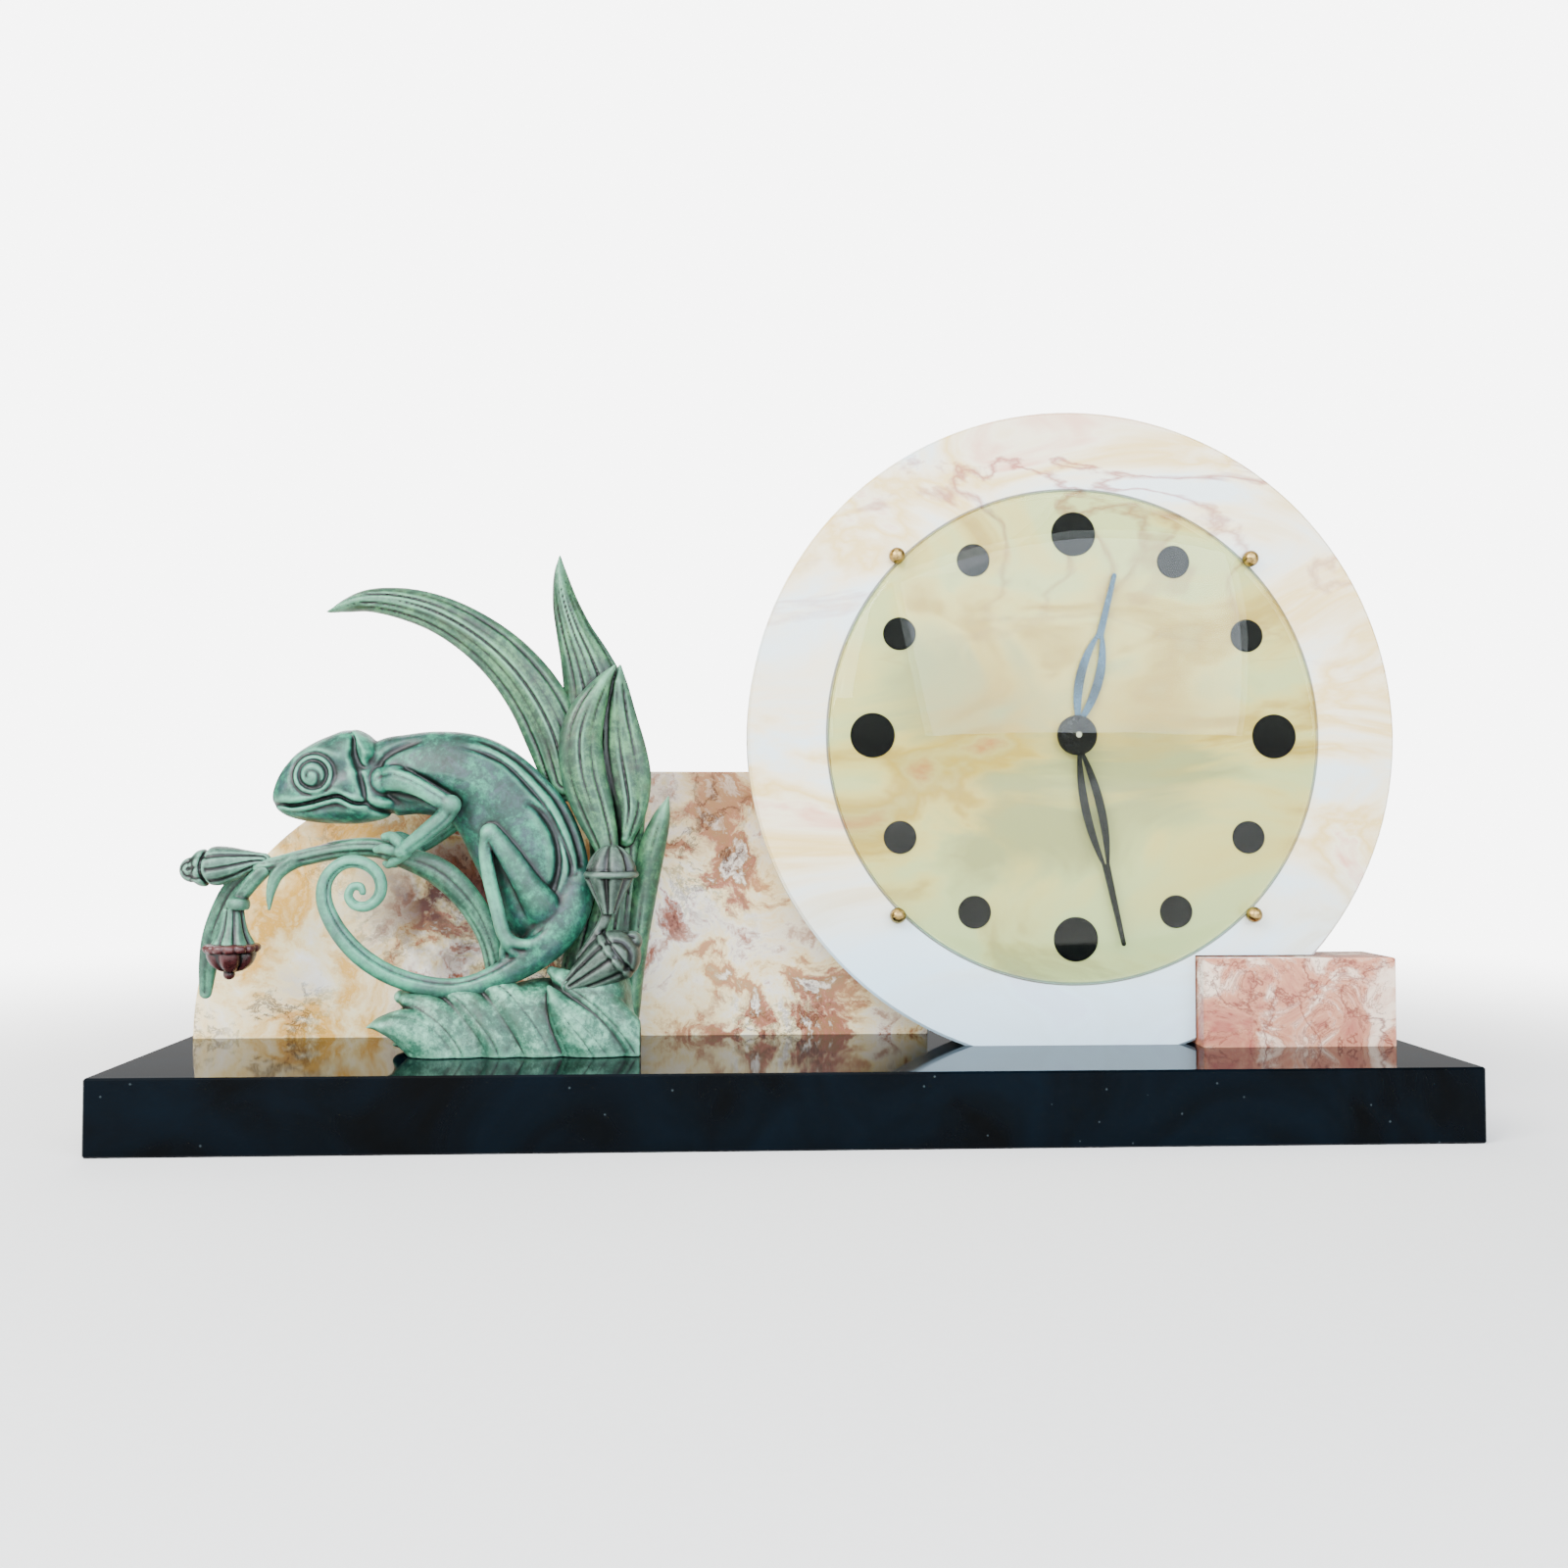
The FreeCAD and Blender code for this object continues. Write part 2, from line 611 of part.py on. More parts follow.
def movement_screw(spot, seat_y):
    shank = cylinder(SCREW_SHANK, seat_y - SCREW_LENGTH, seat_y, spot)
    head = cylinder(SCREW_HEAD, seat_y, seat_y + SCREW_HEAD_THICK, spot)
    top = seat_y + SCREW_HEAD_THICK
    slot = box(spot[0] - 3, spot[0] + 3, top - 0.7, top + 1, spot[1] - 0.35, spot[1] + 0.35)
    return fuse(shank, head).cut(slot)


def movement_screws():
    screws = [movement_screw(spot, OUTER_Y) for spot in pillar_places()]
    flange_seat = INNER_Y + COVER_WALL
    screws += [movement_screw(spot, flange_seat) for spot in cover_screw_places()]
    return screws


def dust_cover():
    inner = COVER_RADIUS - COVER_WALL
    cup = cylinder(COVER_RADIUS, INNER_Y, COVER_BACK, AT_CENTRE)
    flange = cylinder(FRONT_PLATE_RADIUS, INNER_Y, INNER_Y + COVER_WALL, AT_CENTRE)
    rear_edge = [e for e in cup.Edges if e.BoundBox.YMin > COVER_BACK - 0.01]
    cup = cup.makeFillet(2.0, rear_edge)
    hollow = cylinder(inner, INNER_Y - 1, COVER_BACK - COVER_WALL, AT_CENTRE)
    cover = fuse(cup, flange).cut(hollow)
    cover = cover.cut(cylinder(CENTRE_ARBOR + 1.0, INNER_Y, COVER_BACK + 1, AT_CENTRE))
    cover = cover.cut(cylinder(BARREL_PIVOT + 1.0, INNER_Y, COVER_BACK + 1, AT_BARREL))
    for spot in cover_screw_places():
        cover = cover.cut(cylinder(SCREW_SHANK, 0, 60, spot))
    return cover


# ---------------------------------------------------------------- winding side
BARREL_WHEEL_FRONT = 24.0
BARREL_WHEEL_BACK = 26.0
BARREL_BACK = 37.0
BARREL_DRUM = 21.5
BARREL_WALL = 1.2
HUB_RADIUS = 4.0
RATCHET_FRONT = OUTER_Y + 0.4
RATCHET_BACK = RATCHET_FRONT + 1.6
RATCHET_RADIUS = 9.0
RATCHET_TEETH = 24
KEY_FRONT = COVER_BACK + 1.0
KEY_LENGTH = 12.0
SQUARE_HALF = 1.35


def barrel():
    plate = wheel(GREAT, AT_BARREL, AT_INTER, BARREL_WHEEL_FRONT, BARREL_WHEEL_BACK)
    drum = cylinder(BARREL_DRUM, BARREL_WHEEL_FRONT, BARREL_BACK, AT_BARREL)
    space = cylinder(BARREL_DRUM - BARREL_WALL, BARREL_WHEEL_BACK, BARREL_BACK - BARREL_WALL, AT_BARREL)
    bore = cylinder(BARREL_PIVOT + PIVOT_GAP, 0, 60, AT_BARREL)
    return fuse(plate, drum).cut(space).cut(bore)


def mainspring():
    outer = BARREL_DRUM - BARREL_WALL - 0.2
    inner = HUB_RADIUS + 1.0
    return spiral_strip(AT_BARREL, inner, outer, 9.0, 0.7, BARREL_WHEEL_BACK + 0.4, BARREL_BACK - 1.6)


def barrel_arbor():
    shaft = cylinder(BARREL_PIVOT, FRONT_PLATE_Y + 0.4, COVER_BACK + 0.4, AT_BARREL)
    hub = cylinder(HUB_RADIUS, BARREL_WHEEL_BACK + 0.1, BARREL_BACK - BARREL_WALL - 0.1, AT_BARREL)
    x = AT_BARREL[0]
    z = AT_BARREL[1]
    half = SQUARE_HALF
    square = box(x - half, x + half, COVER_BACK + 0.4, KEY_FRONT + 8.0, z - half, z + half)
    return fuse(shaft, hub, square)


def ratchet_wheel():
    points = []
    for tooth in range(RATCHET_TEETH):
        turn = 2.0 * math.pi * tooth / RATCHET_TEETH
        far = math.pi / RATCHET_TEETH * 1.9
        for radius, angle in ((RATCHET_RADIUS, turn), (RATCHET_RADIUS - 1.0, turn + far)):
            across = AT_BARREL[0] + radius * math.cos(angle)
            up = AT_BARREL[1] + radius * math.sin(angle)
            points.append((across, up))
    disc = polygon(points, RATCHET_FRONT, RATCHET_BACK)
    return disc.cut(cylinder(BARREL_PIVOT, 0, 60, AT_BARREL))


def click():
    # The pawl's nose stands just outside the ratchet's tip circle.
    nose = step(AT_BARREL, RATCHET_RADIUS + 0.35, 158.0)
    heel = step(AT_BARREL, RATCHET_RADIUS + 2.6, 160.0)
    back_corners = [step(AT_CLICK, 2.0, 200.0), step(AT_CLICK, 2.0, 330.0)]
    arm = polygon(back_corners + [nose, heel], RATCHET_FRONT, RATCHET_BACK)
    eye = cylinder(2.2, RATCHET_FRONT, RATCHET_BACK, AT_CLICK)
    return fuse(arm, eye).cut(cylinder(CLICK_PIN + PIVOT_GAP, 0, 60, AT_CLICK))


def winding_key():
    back = KEY_FRONT + KEY_LENGTH
    pipe = cylinder(3.2, KEY_FRONT, back - 3.0, AT_BARREL)
    x = AT_BARREL[0]
    z = AT_BARREL[1]
    web = box(x - 8, x + 8, back - 7.0, back - 1.5, z - 1.1, z + 1.1)
    lobes = []
    for side in (-1, 1):
        lobe = Part.makeCylinder(3.6, 2.2, VEC(x + side * 8.5, back - 3.6, z - 1.1), UP)
        lobes.append(lobe)
    half = SQUARE_HALF
    hole = box(x - half, x + half, 0, KEY_FRONT + 8.0, z - half, z + half)
    return fuse(pipe, web, *lobes).cut(hole)


def set_knob():
    front = COVER_BACK + 1.0
    knob = cylinder(6.5, front + 1.5, front + 7.0, AT_CENTRE)
    edges = [e for e in knob.Edges if e.BoundBox.YLength < 0.01]
    knob = fuse(knob.makeChamfer(0.7, edges), cylinder(3.0, front, front + 1.5, AT_CENTRE))
    for index in range(18):
        spot = step(AT_CENTRE, 6.9, 20.0 * index)
        knob = knob.cut(cylinder(0.7, front, front + 8.0, spot))
    return knob.cut(cylinder(CENTRE_ARBOR, 0, COVER_BACK + 7.0, AT_CENTRE))


# ---------------------------------------------------------------- going train
def arbor(at, radius=ARBOR):
    body = cylinder(radius, INNER_Y + 0.2, BACK_PLATE_Y - 0.2, at)
    pivots = cylinder(PIVOT, FRONT_PLATE_Y + 0.4, OUTER_Y - 0.4, at)
    return fuse(body, pivots)


def intermediate_wheel():
    plate = wheel(INTER, AT_INTER, AT_CENTRE, 38.0, 39.2)
    plate = crossed(plate, AT_INTER, 4.0, 17.0, 5, 38.0, 39.2)
    leaves = pinion(GREAT, AT_INTER, AT_BARREL, 23.8, 26.4)
    return fuse(plate, leaves, arbor(AT_INTER))


def centre_wheel():
    plate = wheel(CENTRE, AT_CENTRE, AT_THIRD, 22.5, 23.6)
    plate = crossed(plate, AT_CENTRE, 4.0, 18.0, 5, 22.5, 23.6)
    leaves = pinion(INTER, AT_CENTRE, AT_INTER, 37.6, 39.7)
    pipe = cylinder(CENTRE_PIPE, FRONT_PLATE_Y + 0.2, OUTER_Y - 0.2, AT_CENTRE)
    return fuse(plate, leaves, pipe).cut(cylinder(CENTRE_ARBOR + PIVOT_GAP, 0, 60, AT_CENTRE))


def third_wheel():
    plate = wheel(THIRD, AT_THIRD, AT_FOURTH, 27.0, 28.0)
    plate = crossed(plate, AT_THIRD, 3.0, 15.0, 5, 27.0, 28.0)
    leaves = pinion(CENTRE, AT_THIRD, AT_CENTRE, 22.3, 24.2)
    return fuse(plate, leaves, arbor(AT_THIRD))


def fourth_wheel():
    plate = wheel(FOURTH, AT_FOURTH, AT_ESCAPE, 31.0, 31.9)
    plate = crossed(plate, AT_FOURTH, 3.0, 12.5, 5, 31.0, 31.9)
    leaves = pinion(THIRD, AT_FOURTH, AT_THIRD, 26.6, 28.4)
    return fuse(plate, leaves, arbor(AT_FOURTH))


ESCAPE_RADIUS = 9.0
ESCAPE_TEETH = 15
LEVER_FRONT = 35.0
LEVER_BACK = 36.0


def escape_wheel():
    points = []
    for tooth in range(ESCAPE_TEETH):
        degrees = 360.0 * tooth / ESCAPE_TEETH
        points.append(step(AT_ESCAPE, ESCAPE_RADIUS, degrees))
        points.append(step(AT_ESCAPE, ESCAPE_RADIUS, degrees + 1.6))
        points.append(step(AT_ESCAPE, ESCAPE_RADIUS - 2.2, degrees + 14.0))
        points.append(step(AT_ESCAPE, ESCAPE_RADIUS - 2.2, degrees + 20.0))
    disc = polygon(points, LEVER_FRONT, LEVER_BACK)
    disc = crossed(disc, AT_ESCAPE, 1.6, 6.2, 4, LEVER_FRONT, LEVER_BACK)
    leaves = pinion(FOURTH, AT_ESCAPE, AT_FOURTH, 30.6, 32.3)
    shaft = cylinder(0.75, INNER_Y + 0.2, BACK_PLATE_Y - 0.2, AT_ESCAPE)
    pivots = cylinder(0.5, FRONT_PLATE_Y + 0.4, OUTER_Y - 0.4, AT_ESCAPE)
    return fuse(disc, leaves, shaft, pivots)


def pallet_lever():
    # Two pallet arms reach round the escape wheel's edge; the fork end stops short of the balance.
    towards = math.degrees(direction(AT_PALLET, AT_ESCAPE))
    fork = math.degrees(direction(AT_PALLET, AT_BALANCE))
    hub = cylinder(2.2, LEVER_FRONT, LEVER_BACK, AT_PALLET)
    arms = []
    for side in (-1, 1):
        far = step(AT_ESCAPE, ESCAPE_RADIUS + 1.8, towards + 180.0 - side * 34.0)
        near = step(AT_PALLET, 1.6, towards + side * 90.0)
        tip = step(AT_ESCAPE, ESCAPE_RADIUS + 0.7, towards + 180.0 - side * 38.0)
        arms.append(polygon([near, far, tip, AT_PALLET], LEVER_FRONT, LEVER_BACK))
    end = step(AT_PALLET, 8.6, fork)
    rod = polygon(
        [
            step(AT_PALLET, 0.9, fork + 90.0),
            step(end, 1.3, fork + 90.0),
            step(end, 1.3, fork - 90.0),
            step(AT_PALLET, 0.9, fork - 90.0),
        ],
        LEVER_FRONT,
        LEVER_BACK,
    )
    notch = cylinder(0.6, LEVER_FRONT - 1, LEVER_BACK + 1, end)
    return fuse(hub, rod, arms[0], arms[1], arbor(AT_PALLET, 1.0)).cut(notch)


# ---------------------------------------------------------------- balance on the back plate
BALANCE_RADIUS = 11.0
BALANCE_FRONT = 43.2
BALANCE_BACK = 44.4
HAIRSPRING_FRONT = 45.0
HAIRSPRING_BACK = 45.7
COCK_FRONT = 46.6
COCK_BACK = 48.4


def balance_wheel():
    rim = ring(BALANCE_RADIUS, BALANCE_RADIUS - 1.5, BALANCE_FRONT, BALANCE_BACK, AT_BALANCE)
    x = AT_BALANCE[0]
    z = AT_BALANCE[1]
    reach = BALANCE_RADIUS - 1.0
    arm = box(x - reach, x + reach, BALANCE_FRONT, BALANCE_BACK, z - 0.8, z + 0.8)
    cross_arm = box(x - 0.8, x + 0.8, BALANCE_FRONT, BALANCE_BACK, z - reach, z + reach)
    staff = cylinder(1.0, INNER_Y + 0.2, COCK_FRONT - 0.2, AT_BALANCE)
    pivots = cylinder(0.5, FRONT_PLATE_Y + 0.4, COCK_BACK - 0.4, AT_BALANCE)
    roller = cylinder(1.9, LEVER_FRONT, LEVER_BACK, AT_BALANCE)
    return fuse(rim, arm, cross_arm, staff, pivots, roller)


def hairspring():
    return spiral_strip(AT_BALANCE, 1.6, 6.5, 8.0, 0.16, HAIRSPRING_FRONT, HAIRSPRING_BACK)


def balance_cock():
    away = math.degrees(direction(COCK_FOOT, AT_BALANCE))
    foot = cylinder(3.0, OUTER_Y, COCK_BACK, COCK_FOOT)
    half = 2.4
    bar = polygon(
        [
            step(COCK_FOOT, half, away + 90.0),
            step(AT_BALANCE, half, away + 90.0),
            step(AT_BALANCE, half, away - 90.0),
            step(COCK_FOOT, half, away - 90.0),
        ],
        COCK_FRONT,
        COCK_BACK,
    )
    boss = cylinder(3.4, COCK_FRONT, COCK_BACK, AT_BALANCE)
    return fuse(foot, bar, boss).cut(cylinder(0.5 + PIVOT_GAP, 0, 60, AT_BALANCE))


# ---------------------------------------------------------------- casting: chameleon and plant
BODY_FRONT = -20.0
BODY_BACK = 14.0
BODY_OUTLINE = (
    (-226, 141), (-224, 149), (-218, 160), (-208, 167), (-197, 171), (-189, 170), (-183, 167),
    (-167, 170), (-148, 171), (-131, 167.5), (-116, 159), (-104, 147.5), (-95.5, 134), (-91.5, 119),
    (-91, 107), (-93.5, 95), (-99, 84), (-108, 80), (-117, 88), (-124, 100), (-132, 116),
    (-141, 127), (-151, 131), (-165, 135), (-177, 133), (-196, 131), (-212, 132.5), (-223, 136),
)
# Legs as (x, z, width) stations from the body to the toes.
UPPER_ARM = ((-180, 149, 10), (-165, 145, 9), (-150, 138.5, 8))
FOREARM = ((-150, 141, 8), (-160, 130, 7), (-170, 122, 7), (-181, 116, 7))
THIGH = ((-133, 126, 9), (-126, 118, 9), (-117, 104, 9.5), (-110, 92, 10))
SHIN = ((-133, 126, 8), (-131, 112, 7), (-128, 96, 6.5), (-125, 80, 6.5), (-122, 73, 8))
LEG_THICK = 8.0


def chameleon_body():
    trunk = smooth_loop(BODY_OUTLINE, BODY_FRONT, BODY_BACK)
    legs = []
    for stations in (UPPER_ARM, FOREARM, THIGH, SHIN):
        for front in (BODY_FRONT - 5.0, BODY_BACK - LEG_THICK + 5.0):
            legs.append(ribbon(stations, front, front + LEG_THICK, 10))
    eye = Part.makeSphere(7.0, VEC(-210, BODY_FRONT + 2.0, 151.5))
    return fuse(trunk, eye, *legs)


TAIL_STATIONS = (
    (-106, 84, 19), (-118, 70.5, 14), (-131, 62.5, 10), (-145, 58.2, 8.2),
    (-160, 59.8, 8.2), (-174.5, 64.6, 8.6),
    (-187.5, 72.8, 8.6), (-197.5, 83.2, 8), (-203.6, 94.2, 7), (-204.6, 104, 6.4), (-201, 110.5, 6),
    (-193, 114, 6), (-184.5, 111, 5.6), (-181.8, 104, 5.2), (-185.5, 97.5, 5),
    (-191, 97, 4.6), (-193, 101, 4.4),
)
TAIL_FRONT = -17.0
TAIL_BACK = -8.0


def chameleon_tail():
    return ribbon(TAIL_STATIONS, TAIL_FRONT, TAIL_BACK, 48)


BRANCH_STATIONS = (
    (-126, 46, 10), (-130, 61, 9), (-135, 80, 8), (-146.5, 97, 8), (-159, 109, 8.5), (-172, 116.5, 8),
    (-183, 119, 7.5), (-198, 118.2, 6.5), (-213, 114.5, 6), (-224, 111.5, 6), (-235, 110.5, 7),
)
BRANCH_FRONT = -7.0
BRANCH_BACK = 3.0


def branch():
    return ribbon(BRANCH_STATIONS, BRANCH_FRONT, BRANCH_BACK, 30)


def flower_bud():
    # Seed head at the branch's end, lying to the left.
    return revolved(((-236, 4.5), (-244, 7.5), (-254, 9.5), (-262, 8.0), (-265.5, 4.5)), 111.5, -2.0)


def revolved(stations, level, y):
    # A turned solid along X: a station is (x, radius).
    first = VEC(stations[0][0], y, level)
    last = VEC(stations[-1][0], y, level)
    rim = [VEC(x, y, level + radius) for x, radius in stations]
    curve = Part.BSplineCurve()
    curve.interpolate(rim)
    edges = [
        Part.LineSegment(first, rim[0]).toShape(),
        curve.toShape(),
        Part.LineSegment(rim[-1], last).toShape(),
        Part.LineSegment(last, first).toShape(),
    ]
    return Part.Face(Part.Wire(edges)).revolve(first, VEC(1, 0, 0), 360)


def upright_revolved(stations, x, y):
    # A turned solid along Z: a station is (z, radius).
    first = VEC(x, y, stations[0][0])
    last = VEC(x, y, stations[-1][0])
    rim = [VEC(x + radius, y, z) for z, radius in stations]
    curve = Part.BSplineCurve()
    curve.interpolate(rim)
    edges = [
        Part.LineSegment(first, rim[0]).toShape(),
        curve.toShape(),
        Part.LineSegment(rim[-1], last).toShape(),
        Part.LineSegment(last, first).toShape(),
    ]
    return Part.Face(Part.Wire(edges)).revolve(first, UP, 360)


def hanging_flower():
    stations = (
        (104, 3.0), (96, 3.6), (88, 6.5), (78, 10.5), (75, 13.5), (70, 10.0), (66, 5.0),
        (62.5, 3.4),
    )
    return upright_revolved(stations, -246.0, -2.0)


def drooping_leaf():
    stations = (
        (-240, 109.5, 3), (-249, 105, 8), (-254.5, 93, 9), (-258.5, 80, 9), (-260, 68, 8.5),
        (-260, 55.5, 7),
    )
    return ribbon(stations, 5.0, 11.0, 16)


LEAF_FRONT = -4.0
LEAF_BACK = 8.0


def arching_leaf():
    stations = (
        (-206.5, 224.5, 1), (-192, 229.5, 8.5), (-175, 229, 13), (-157, 224, 16.5), (-140, 214, 20),
        (-126, 201.5, 23), (-115, 187, 25), (-106, 170, 25), (-102, 155, 20),
    )
    return ribbon(stations, LEAF_FRONT, LEAF_BACK, 24)


TALL_OUTLINE = (
    (-104.6, 250.5), (-100, 239.5), (-93, 224.5), (-83.5, 208.5), (-75.5, 195), (-71, 180), (-67.3, 165.5),
    (-64, 150), (-63.5, 140), (-66, 128), (-68, 112), (-69, 90), (-71, 60), (-78, 47), (-100, 45),
    (-110, 58), (-101, 80), (-93, 95), (-88.5, 110), (-90, 128), (-96, 142), (-103.5, 152),
    (-103.8, 170), (-101.5, 190), (-103.6, 207), (-107, 222), (-109, 236),
)


def tall_leaf():
    # The upright leaf with the shorter leaf that lies on its front.
    back_leaf = smooth_loop(TALL_OUTLINE, LEAF_FRONT, LEAF_BACK)
    stations = (
        (-80, 199.5, 1), (-89, 187, 13), (-94.5, 172, 18), (-92, 155, 22), (-84, 138, 20),
        (-80, 122, 14),
    )
    return fuse(back_leaf, ribbon(stations, LEAF_FRONT - 6.0, LEAF_FRONT + 1.0, 16))


def side_leaf():
    stations = (
        (-55.5, 142, 1), (-61.5, 126, 10), (-65, 108, 10), (-67.5, 88, 9), (-69.5, 68, 7),
        (-71.5, 45, 5),
    )
    return ribbon(stations, -2.0, 10.0, 16)


def seed_pods():
    upper = upright_revolved(((94.5, 3.0), (99, 7.0), (109, 11.2), (114, 9.0), (121, 2.5)), -80.0, -16.0)
    lower = upright_revolved(((57.5, 4.0), (61, 9.0), (70, 13.5), (76, 10.0), (81.5, 3.0)), -84.5, -18.0)
    return (upper, lower)


FOLIAGE_OUTLINE = (
    (-172, 31), (-177, 37), (-182, 43.5), (-174, 47.5), (-166.5, 49.5), (-159, 45), (-150, 44), (-140, 47),
    (-132, 52), (-126, 60), (-117, 62), (-106, 54), (-98, 60), (-88, 66), (-76, 66), (-71, 52), (-72.5, 31),
)
FOLIAGE_FRONT = -26.0
FOLIAGE_BACK = 24.0


def foot_foliage():
    corners = [flat_point(point, FOLIAGE_FRONT) for point in FOLIAGE_OUTLINE]
    curve = Part.BSplineCurve()
    curve.interpolate(corners)
    foot = Part.LineSegment(corners[-1], corners[0]).toShape()
    return extrude(Part.Wire([curve.toShape(), foot]), FOLIAGE_FRONT, FOLIAGE_BACK)


def casting_parts():
    # Each later piece is cut back where it meets an earlier one, as at a soldered seam.
    order = (
        ("chameleon_tail", chameleon_tail()),
        ("chameleon_body", chameleon_body()),
        ("seed_pods", group(seed_pods())),
        ("branch", branch()),
        ("flower_bud", flower_bud()),
        ("hanging_flower", hanging_flower()),
        ("drooping_leaf", drooping_leaf()),
        ("foot_foliage", foot_foliage()),
        ("tall_leaf", tall_leaf()),
        ("side_leaf", side_leaf()),
        ("arching_leaf", arching_leaf()),
    )
    done = {}
    for name, shape in order:
        for earlier in done.values():
            if shape.BoundBox.intersect(earlier.BoundBox):
                shape = shape.cut(earlier)
        for rod in RODS:
            if shape.BoundBox.intersect(rod.BoundBox):
                shape = shape.cut(rod)
        solids = sorted(shape.Solids, key=lambda solid: solid.Volume, reverse=True)
        pieces = 2 if name == "seed_pods" else 1
        done[name] = group(solids[:pieces]) if pieces > 1 else solids[0]
        if len(solids) > pieces:
            print("left over in", name, [round(solid.Volume, 1) for solid in solids[pieces:]])
    return done


# ---------------------------------------------------------------- nodes
def all_nodes():
    nodes = {
        "base_slab": base_slab(),
        "back_panel": back_panel(),
        "clock_disc": clock_disc(),
        "side_block": side_block(),
        "dial_glass": dial_glass(),
        "glass_studs": group(glass_stud(spot) for spot in stud_places()),
        "threaded_rods": group(RODS),
        "rod_washers": group(rod_washers()),
        "rod_nuts": group(rod_nuts()),
        "hour_hand": hour_hand(),
        "minute_hand": minute_hand(),
        "hand_cap": hand_cap(),
        "centre_arbor": centre_arbor(),
        "cannon_pinion": cannon_pinion(),
        "minute_wheel": minute_wheel(),
        "hour_wheel": hour_wheel(),
        "front_plate": front_plate(),
        "back_plate": back_plate(),
        "plate_pillars": group(pillar(spot) for spot in pillar_places()),
        "movement_screws": group(movement_screws()),
        "dust_cover": dust_cover(),
        "barrel": barrel(),
        "mainspring": mainspring(),
        "barrel_arbor": barrel_arbor(),
        "ratchet_wheel": ratchet_wheel(),
        "click": click(),
        "winding_key": winding_key(),
        "set_knob": set_knob(),
        "intermediate_wheel": intermediate_wheel(),
        "centre_wheel": centre_wheel(),
        "third_wheel": third_wheel(),
        "fourth_wheel": fourth_wheel(),
        "escape_wheel": escape_wheel(),
        "pallet_lever": pallet_lever(),
        "balance_wheel": balance_wheel(),
        "hairspring": hairspring(),
        "balance_cock": balance_cock(),
    }
    for hour, spot, radius in dot_places():
        nodes["hour_dot_%02d" % hour] = hour_dot(spot, radius)
    nodes.update(casting_parts())
    return nodes


def main():
    os.makedirs("parts", exist_ok=True)
    for name, shape in all_nodes().items():
        if not shape.isValid():
            print("not valid:", name)
        print(name, "solids", len(shape.Solids), "volume", round(shape.Volume, 1))
        shape.exportStep("parts/%s.step" % name)


main()
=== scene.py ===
import math

import bmesh
import bpy
import numpy as np
import openvdb
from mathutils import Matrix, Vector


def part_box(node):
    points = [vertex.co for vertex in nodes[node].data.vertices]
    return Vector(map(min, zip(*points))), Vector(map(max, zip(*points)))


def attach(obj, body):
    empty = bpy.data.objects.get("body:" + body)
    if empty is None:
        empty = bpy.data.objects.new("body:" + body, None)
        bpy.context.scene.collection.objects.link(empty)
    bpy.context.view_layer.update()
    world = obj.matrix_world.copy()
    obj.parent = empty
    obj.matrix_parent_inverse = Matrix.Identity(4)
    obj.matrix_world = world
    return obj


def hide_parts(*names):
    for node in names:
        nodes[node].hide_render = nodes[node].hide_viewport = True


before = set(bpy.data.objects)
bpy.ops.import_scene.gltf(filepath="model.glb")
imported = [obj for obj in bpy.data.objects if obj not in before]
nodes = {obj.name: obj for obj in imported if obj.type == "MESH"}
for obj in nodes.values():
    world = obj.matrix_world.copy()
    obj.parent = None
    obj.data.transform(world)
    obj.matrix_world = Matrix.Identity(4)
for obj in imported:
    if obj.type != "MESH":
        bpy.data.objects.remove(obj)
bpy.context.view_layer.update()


# ------------------------------------------------------------------ viewpoint
# One fixed viewpoint, at table height, a little left of the middle.
VIEW_PLACE = (-0.0311, -0.6086, 0.1293)
VIEW_TILT = math.radians(91.77)
VIEW_TURN = math.radians(-2.58)
VIEW_LENS = 31.2
VIEW_FILM = 36.0


def stand(name, data):
    # Puts a new object in the scene.
    made = bpy.data.objects.new(name, data)
    bpy.context.scene.collection.objects.link(made)
    return made


view = bpy.data.cameras.new("viewpoint")
view.sensor_width = VIEW_FILM
view.lens = VIEW_LENS
view_object = stand("viewpoint", view)
view_object.location = VIEW_PLACE
view_object.rotation_euler = (VIEW_TILT, 0.0, VIEW_TURN)
bpy.context.scene.camera = view_object


# ------------------------------------------------------------------ base slab
# The foot is one slab of black marble, sawn, bevelled and polished to a mirror.
# Everything above stands on it, held by threaded rods from below.
BASE_BLACK = "#010203"
BASE_CLOUD = "#020a12"
BASE_SPECK = "#2b3336"
BASE_ROUGH = 0.05
BASE_CLOUD_SIZE = 60.0
BASE_SPECK_GAP = 9.0
BASE_SPECK_SHARE = 0.05


def colour(code):
    # An sRGB hex code as the linear colour that shaders take.
    parts = [int(code[at : at + 2], 16) / 255.0 for at in (1, 3, 5)]
    return [p / 12.92 if p <= 0.04045 else ((p + 0.055) / 1.055) ** 2.4 for p in parts] + [1.0]


def per_mm(size):
    # A pattern's scale on coordinates in metres, from its size in millimetres.
    return 1000.0 / size


def plug(node, inputs):
    # Fills a node's sockets with values, hex colours, outputs, or whole nodes, which
    # stand for their first output in use.
    for place, value in inputs.items():
        if isinstance(value, bpy.types.Node):
            value = next(output for output in value.outputs if output.enabled)
        if isinstance(value, bpy.types.NodeSocket):
            node.id_data.links.new(value, node.inputs[place])
        else:
            node.inputs[place].default_value = colour(value) if isinstance(value, str) else value


